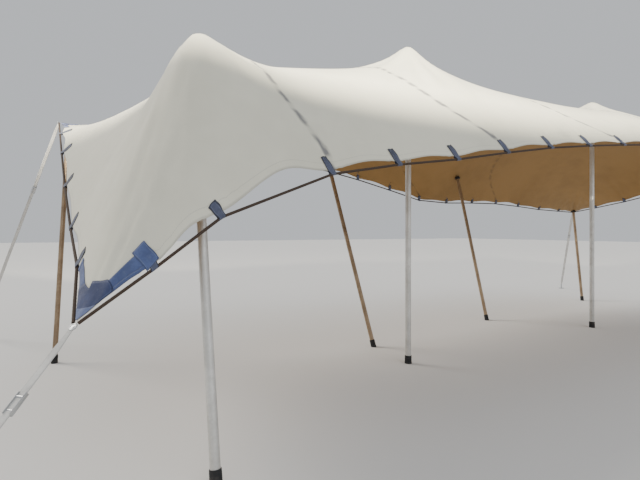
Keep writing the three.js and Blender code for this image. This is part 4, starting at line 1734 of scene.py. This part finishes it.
        loop = []
        for k in range(self.loop_steps + 1):
            angle = math.pi * (0.5 + k / self.loop_steps)
            loop.append((math.cos(angle), math.sin(angle)))
        round_rope = self.radius + self.tab_thick / 2 + SLIP
        clear = self.tab_thick / 2 + self.cloth_gap
        path: list[tuple[str, float, float]] = [("over", d, clear) for d in upper]
        path += [("loop", c, s) for c, s in loop]
        path += [("over", d, -clear - self.cloth_thick) for d in lower]
        half = self.tab_width / 2
        offsets = evenly(-half, half, self.tab_width / self.tab_columns)
        lengths = [0.0]
        spots = []
        for kind, a, b in path:
            if kind == "over":
                spots.append([over(a, off, b) for off in offsets])
            else:
                centre = rope + climb * (a * round_rope) + upward * (b * round_rope)
                spots.append([centre + side * off for off in offsets])
        middle_column = self.tab_columns // 2
        for earlier, later in zip(spots, spots[1:]):
            lengths.append(lengths[-1] + (later[middle_column] - earlier[middle_column]).length)
        grid_patch(bm, lengths, offsets, lambda u, v: spots[lengths.index(u)][offsets.index(v)])


# Poles


@dataclass
class Pole:
    """A pole: aluminium tube with a sleeve joint and button, rubber foot and rubber head."""

    shape: CanopyShape
    node: str
    foot_at: tuple[float, float]
    finish: MetalFinish
    radius: float
    wall: float = 0.003
    foot_height: float = 0.09
    head_radius: float = 0.046
    head_skirt: float = 0.014
    head_dome: float = 0.030
    head_gap: float = 0.0045
    head_growth: float = 0.02
    head_share: float = 0.8
    plug_depth: float = 0.05
    sleeve_share: float = 0.56
    button_offsets: tuple[float, float] = (-0.05, 0.055)
    ribs: int = 4
    rib_pitch: float = 0.011
    dome_steps: int = 8

    def build(self) -> None:
        """Makes the pole's tube, foot and head on the line of its CAD tube."""
        low, high = (Vector(c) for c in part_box(f"{self.node}_tube"))
        middle = (low + high) / 2
        foot = Vector((self.foot_at[0], self.foot_at[1], 0)) + self.shape.shift
        way = (middle - foot).normalized()
        lean = math.sqrt(max(0.0, 1 - way.z**2))
        length = ((high.z - low.z) - 2 * self.radius * lean) / way.z
        start = middle - way * length / 2
        self._tube(start, way, length)
        self._foot(foot, way)
        self._head(start + way * (length + SLIP), way)

    def _tube(self, start: Vector, way: Vector, length: float) -> None:
        """Makes the tube, with the sleeve where its two lengths join.

        Args:
            start: the tube's lower end.
            way: the direction that the pole points up in.
            length: its length.
        """
        radius, inner = self.radius, self.radius - self.wall
        sleeve = length * self.sleeve_share
        worn, groove = radius - 0.001, radius - 0.0012
        profile = [
            (inner, 0.0), (worn, 0.0), (radius, 0.001), (radius, sleeve), (groove, sleeve + 0.0015),
            (groove, sleeve + 0.003), (radius, sleeve + 0.0045), (radius, length - 0.001),
            (worn, length), (inner, length),
        ]
        bm = bmesh.new()
        place = laid_along(start, start + way)
        lathe(bm, profile, place, steps=56)
        sideways = Matrix.Rotation(math.pi / 2, 4, "X")
        button = [(0, 0), (0.0055, 0), (0.0055, 0.0022), (0.004, 0.0034), (0, 0.0038)]
        for offset in self.button_offsets:
            at = place @ Matrix.Translation((0, -worn, sleeve + offset)) @ sideways
            lathe(bm, button, at, steps=16)
        node = f"{self.node}_tube"
        finished(bm, f"{node}_drawn", (self.finish,), [node], sharp=0.5)

    def _foot(self, foot: Vector, way: Vector) -> None:
        """Makes the ribbed rubber foot, cut flat on the ground.

        Args:
            foot: where the pole's line meets the ground.
            way: the direction that the pole points up in.
        """
        grip, below, socket = self.radius + SLIP, -0.04, 0.034
        profile = [(0, below), (grip + 0.0078, below), (grip + 0.0066, 0.022)]
        for rib in range(self.ribs):
            height = 0.026 + rib * self.rib_pitch
            groove, crest = grip + 0.0045, grip + 0.0062
            profile += [(groove, height), (groove, height + 0.004)]
            profile += [(crest, height + 0.006), (crest, height + 0.009)]
        profile += [
            (grip + 0.005, 0.075), (grip + 0.005, 0.087), (grip + 0.0035, self.foot_height),
            (grip, self.foot_height), (grip, socket), (0, socket),
        ]
        bm = bmesh.new()
        lathe(bm, profile, laid_along(foot, foot + way), steps=56)
        geom = bm.verts[:] + bm.edges[:] + bm.faces[:]
        cut = bmesh.ops.bisect_plane(
            bm, geom=geom, plane_co=(0, 0, 0), plane_no=(0, 0, -1), clear_outer=True,
        )
        rim = [e for e in cut["geom_cut"] if isinstance(e, bmesh.types.BMEdge)]
        bmesh.ops.contextual_create(bm, geom=rim)
        bmesh.ops.recalc_face_normals(bm, faces=bm.faces[:])
        node = f"{self.node}_foot"
        finished(bm, f"{node}_moulded", (BLACK_RUBBER,), [node], sharp=0.5)

    def _head(self, end: Vector, way: Vector) -> None:
        """Makes the domed head, raised until it meets the cloth.

        Args:
            end: the tube's upper end.
            way: the direction that the pole points up in.
        """
        radius, skirt = self.head_radius, self.head_skirt
        top = end + way * (skirt + self.head_dome)
        room = self.shape.height_over(top) - self.head_gap - top.z
        dome = self.head_dome + min(max(room, 0.0), self.head_growth) * self.head_share
        plug = self.radius - self.wall - SLIP
        profile = [
            (0, -self.plug_depth), (plug, -self.plug_depth), (plug, 0.0), (self.radius + 0.002, 0.0),
            (self.radius + 0.005, 0.003), (radius - 0.002, skirt - 0.003), (radius, skirt),
        ]
        for k in range(1, self.dome_steps):
            angle = k / self.dome_steps * math.pi / 2
            profile.append((radius * math.cos(angle), skirt + dome * math.sin(angle)))
        profile.append((0.0, skirt + dome))
        bm = bmesh.new()
        lathe(bm, profile, laid_along(end, end + way), steps=48)
        node = f"{self.node}_head"
        finished(bm, f"{node}_moulded", (BLACK_RUBBER,), [node], sharp=0.7)


# Corner fittings


@dataclass
class CornerFitting:
    """A corner's ring, its strap with a ratchet, and its ground anchor."""

    shape: CanopyShape
    corner: Corner
    plate_radius: float = 0.024
    plate_thick: float = 0.012
    ring_wire: float = 0.0052
    ring_steps: int = 12
    pin_radius: float = 0.009
    strap_width: float = 0.046
    strap_thick: float = 0.0025
    strap_overlap: float = 0.004
    strap_drawn: tuple[float, float] = (0.55, 0.12)
    strap_ripple: tuple[float, float] = (0.0012, 9)
    strap_columns: int = 8
    strap_step: float = 0.03
    anchor_radius: float = 0.06
    anchor_plate: float = 0.01
    anchor_post: float = 0.0135
    anchor_top: float = 0.114
    bolts: int = 4
    bolt_circle: float = 0.043
    tie_height: float = 0.1
    ratchet_share: float = 0.3
    corner_run: float = 0.285

    def build(self) -> None:
        """Makes the ring, the anchor and the strap."""
        label = self.corner.label
        s, t = self.corner.fractions
        long_side = Side.BACK if t else Side.FRONT
        short_side = Side.RIGHT if s else Side.LEFT
        corner = self._on_line(long_side, s)
        along = self._on_line(long_side, abs(s - self.corner_run / self.shape.width)) - corner
        beside = self._on_line(short_side, abs(t - self.corner_run / self.shape.depth)) - corner
        axis = along.cross(beside).normalized()
        if axis.z < 0:
            axis.negate()
        self._ring(label, corner, axis)
        low, high = (Vector(c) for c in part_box(f"{label}_ground_anchor"))
        ground = Vector(((low.x + high.x) / 2, (low.y + high.y) / 2, 0))
        self._anchor(label, ground)
        self._strap(label, corner, ground + Vector((0, 0, self.tie_height)))

    def _on_line(self, side: Side, fraction: float) -> Vector:
        """Returns a point of a side's rope line."""
        return Vector(self.shape.line(side, np.array([fraction]))[:, 0]) + self.shape.shift

    def _ring(self, label: str, corner: Vector, axis: Vector) -> None:
        """Makes the ring, with a filled thimble plate and its pin.

        Args:
            label: the corner's name.
            corner: the canopy's corner.
            axis: the ring's axis.
        """
        bm = bmesh.new()
        place = laid_along(corner, corner + axis)
        centre, wire = self.plate_radius - self.ring_wire - 0.0004, self.ring_wire
        angles = [math.tau * k / self.ring_steps for k in range(self.ring_steps)]
        round_section = [(centre + wire * math.cos(angle), wire * math.sin(angle)) for angle in angles]
        lathe(bm, round_section, place, steps=40)
        inner, half, pin = centre - wire * 0.6, self.plate_thick * 0.22, self.pin_radius
        top = self.plate_thick / 2
        plate = [(0, -half), (inner, -half), (inner, half), (pin, half), (pin, top), (0, top)]
        lathe(bm, plate, place, steps=32)
        node = f"{label}_corner_plate"
        finished(bm, f"{node}_ring", (ZINC,), [node], sharp=0.7)

    def _anchor(self, label: str, ground: Vector) -> None:
        """Makes the base plate, its collar, the post and four bolt heads.

        Args:
            label: the corner's name.
            ground: the middle of the anchor, on the ground.
        """
        bm = bmesh.new()
        place = Matrix.Translation(ground)
        plate, post, radius = self.anchor_plate, self.anchor_post, self.anchor_radius
        top = self.anchor_top
        base = [(0, 0), (radius - 0.001, 0), (radius, 0.001), (radius, plate - 0.0015)]
        base += [(radius - 0.0015, plate), (0.026, plate), (0.024, plate + 0.006), (post, plate + 0.012)]
        base += [(post, top - 0.004), (post - 0.004, top), (0, top)]
        lathe(bm, base, place, steps=48)
        bolt = [(0, 0), (0.008, 0), (0.008, 0.0042), (0.0065, 0.0055), (0, 0.0055)]
        for index in range(self.bolts):
            angle = math.tau * (index + 0.5) / self.bolts
            across, back = self.bolt_circle * math.cos(angle), self.bolt_circle * math.sin(angle)
            lathe(bm, bolt, place @ Matrix.Translation((across, back, plate - 0.0005)), steps=6)
        node = f"{label}_ground_anchor"
        finished(bm, f"{node}_bolted", (ZINC,), [node], sharp=0.5)

    def _strap(self, label: str, corner: Vector, tie: Vector) -> None:
        """Makes the taut strap and its ratchet.

        Args:
            label: the corner's name.
            corner: the canopy's corner.
            tie: the strap's point on the anchor.
        """
        way = (tie - corner).normalized()
        side = Vector((-way.y, way.x, 0)).normalized()
        up = side.cross(way).normalized()
        start = corner + way * (self.plate_radius - self.strap_overlap)
        end = tie - way * (self.anchor_post + 0.001)
        length = (end - start).length
        bm = bmesh.new()
        half = self.strap_width / 2
        narrow, run = self.strap_drawn
        high, often = self.strap_ripple

        def place(u: float, v: float) -> Vector:
            """Draws the strap in where it passes the ring and the post.

            Args:
                u: the grid's first coordinate.
                v: the grid's second coordinate.

            Returns:
                The point.
            """
            close = min(u, length - u)
            draw = narrow + (1 - narrow) * min(close / run, 1.0)
            return start + way * u + side * (v * draw) + up * (high * math.sin(u * often))

        across = evenly(-half, half, self.strap_width / self.strap_columns)
        grid_patch(bm, evenly(0.0, length, self.strap_step), across, place)
        node = f"{label}_strap"
        strap = finished(bm, f"{node}_webbing", (STRAP_WEBBING,), [node])
        thicken(strap, self.strap_thick, 0.0)
        at = start + way * (length * self.ratchet_share)
        self._ratchet(f"{node}_ratchet", at, Matrix((side, way, up)).transposed())

    def _ratchet(self, name: str, at: Vector, turn: Matrix) -> None:
        """Makes the ratchet: two cheek plates, a drum and a folded handle.

        Args:
            name: the piece's name.
            at: its middle.
            turn: the matrix of the strap's directions.
        """
        bm = bmesh.new()
        place = Matrix.Translation(at) @ turn.to_4x4()
        cheek = self.strap_width / 2 - 0.0015
        raised, plate_size = 0.003, (0.0025, 0.105, 0.024)
        for size, at_point in (
            (plate_size, (-cheek, 0, raised)), (plate_size, (cheek, 0, raised)),
            ((self.strap_width - 0.008, 0.085, 0.004), (0, 0.012, 0.014)),
        ):
            made = bmesh.ops.create_cube(bm, size=1.0)["verts"]
            bmesh.ops.scale(bm, vec=size, verts=made)
            bmesh.ops.translate(bm, vec=at_point, verts=made)
        bmesh.ops.bevel(
            bm, geom=bm.edges[:], offset=0.0012, segments=2, affect="EDGES", profile=0.5, material=-1,
        )
        bmesh.ops.transform(bm, matrix=place, verts=bm.verts[:])
        across = Matrix.Rotation(math.pi / 2, 4, "Y")
        for offset, radius in ((-0.03, 0.009), (0.034, 0.006)):
            drum = place @ Matrix.Translation((-cheek, offset, raised)) @ across
            lathe(bm, [(0, 0), (radius, 0), (radius, 2 * cheek), (0, 2 * cheek)], drum, steps=24)
        finished(bm, name, (ZINC,), sharp=0.5)


# Studio


@dataclass
class Studio:
    """The pale floor, the soft lights and the camera at the photograph's viewpoint."""

    shape: CanopyShape
    eye: tuple[float, float, float] = (0.195, -2.536, 1.5)
    heading: float = math.radians(25.7)
    focal_pixels: float = 420.0
    optical_centre: tuple[float, float] = (316.5, 231.0)
    sensor: float = 36.0
    floor_half: float = 60.0

    def build(self) -> None:
        """Makes the stage, the lights and the camera."""
        self._floor()
        self._camera()
        centre = (0.0, 0.0, 0.0)
        key = self._light("key", "SUN", (-7.0, 7.5, 9.0), centre, 2.1, (1.0, 0.94, 0.84))
        key.angle = math.radians(22)
        fill = self._light("fill", "SUN", (3.0, -9.0, 6.0), centre, 0.55, (0.94, 0.97, 1.0))
        fill.angle = math.radians(60)
        front = self._light(
            "far_peak", "SPOT", (-5.5, -8.5, 5.5), (-2.65, -1.45, 12.06), 17000.0, (1.0, 0.93, 0.76),
        )
        front.spot_size, front.spot_blend, front.shadow_soft_size = math.radians(122), 0.02, 0.3
        world = bpy.data.worlds.new("studio")
        world.use_nodes = True
        background = world.node_tree.nodes["Background"]
        background.inputs["Color"].default_value = (0.86, 0.89, 0.93, 1)
        background.inputs["Strength"].default_value = 0.7
        bpy.context.scene.world = world

    def _floor(self) -> None:
        """Makes the floor."""
        bm = bmesh.new()
        bmesh.ops.create_grid(bm, x_segments=1, y_segments=1, size=self.floor_half)
        mesh = bpy.data.meshes.new("studio_floor")
        bm.to_mesh(mesh)
        bm.free()
        floor = bpy.data.objects.new("studio_floor", mesh)
        floor.location = (0, 0, -0.0005)
        bpy.context.scene.collection.objects.link(floor)
        material = bpy.data.materials.new("pale_floor")
        material.use_nodes = True
        shader = material.node_tree.nodes["Principled BSDF"]
        shader.inputs["Base Color"].default_value = (0.78, 0.77, 0.75, 1)
        shader.inputs["Roughness"].default_value = 0.9
        mesh.materials.append(material)

    def _camera(self) -> None:
        """Makes the camera, level, with the small shift of the photograph's optical centre."""
        data = bpy.data.cameras.new("photo_view")
        data.sensor_width = self.sensor
        data.lens = self.focal_pixels / PHOTO_WIDTH * self.sensor
        data.shift_x = (PHOTO_WIDTH / 2 - self.optical_centre[0]) / PHOTO_WIDTH
        data.shift_y = (self.optical_centre[1] - PHOTO_HEIGHT / 2) / PHOTO_WIDTH
        data.clip_end = 200
        camera = bpy.data.objects.new("photo_view", data)
        camera.location = Vector(self.eye) + self.shape.shift
        camera.rotation_euler = (math.pi / 2, 0, -self.heading)
        bpy.context.scene.collection.objects.link(camera)
        bpy.context.scene.camera = camera

    def _light(
        self, name: str, kind: str, at: tuple[float, float, float], aim: tuple[float, float, float],
        power: float, colour: tuple[float, float, float],
    ) -> bpy.types.Light:
        """Makes a light that points at a place.

        Args:
            name: the light's name.
            kind: Blender's type of light.
            at: where it is.
            aim: the point that it is aimed at.
            power: its strength, in the unit of its type.
            colour: its colour.

        Returns:
            The light's settings.
        """
        data = bpy.data.lights.new(name, kind)
        data.energy, data.color = power, colour
        light = bpy.data.objects.new(name, data)
        light.location = at
        light.rotation_euler = (Vector(aim) - Vector(at)).to_track_quat("-Z", "Y").to_euler()
        bpy.context.scene.collection.objects.link(light)
        return data


def main() -> None:
    """Builds the studio, then the tent's sub-assemblies in order."""
    logging.basicConfig(level=logging.INFO, format="%(message)s")
    shape = CanopyShape()
    Studio(shape).build()
    canopy = Canopy(shape)
    sheet = canopy.build()
    sewn = [CornerPatch(shape, corner).build() for corner in Corner]
    sewn += [EdgeRope(shape, side).build() for side in Side]
    for node, foot in KING_POLES.items():
        Pole(shape, node, foot, PALE_ALUMINIUM, radius=0.0325).build()
    for node, foot in SIDE_POLES.items():
        Pole(shape, node, foot, ALUMINIUM_PAINTED_SHADE, radius=0.0275, wall=0.0025).build()
    for corner in Corner:
        CornerFitting(shape, corner).build()


if __name__ == "__main__":
    main()
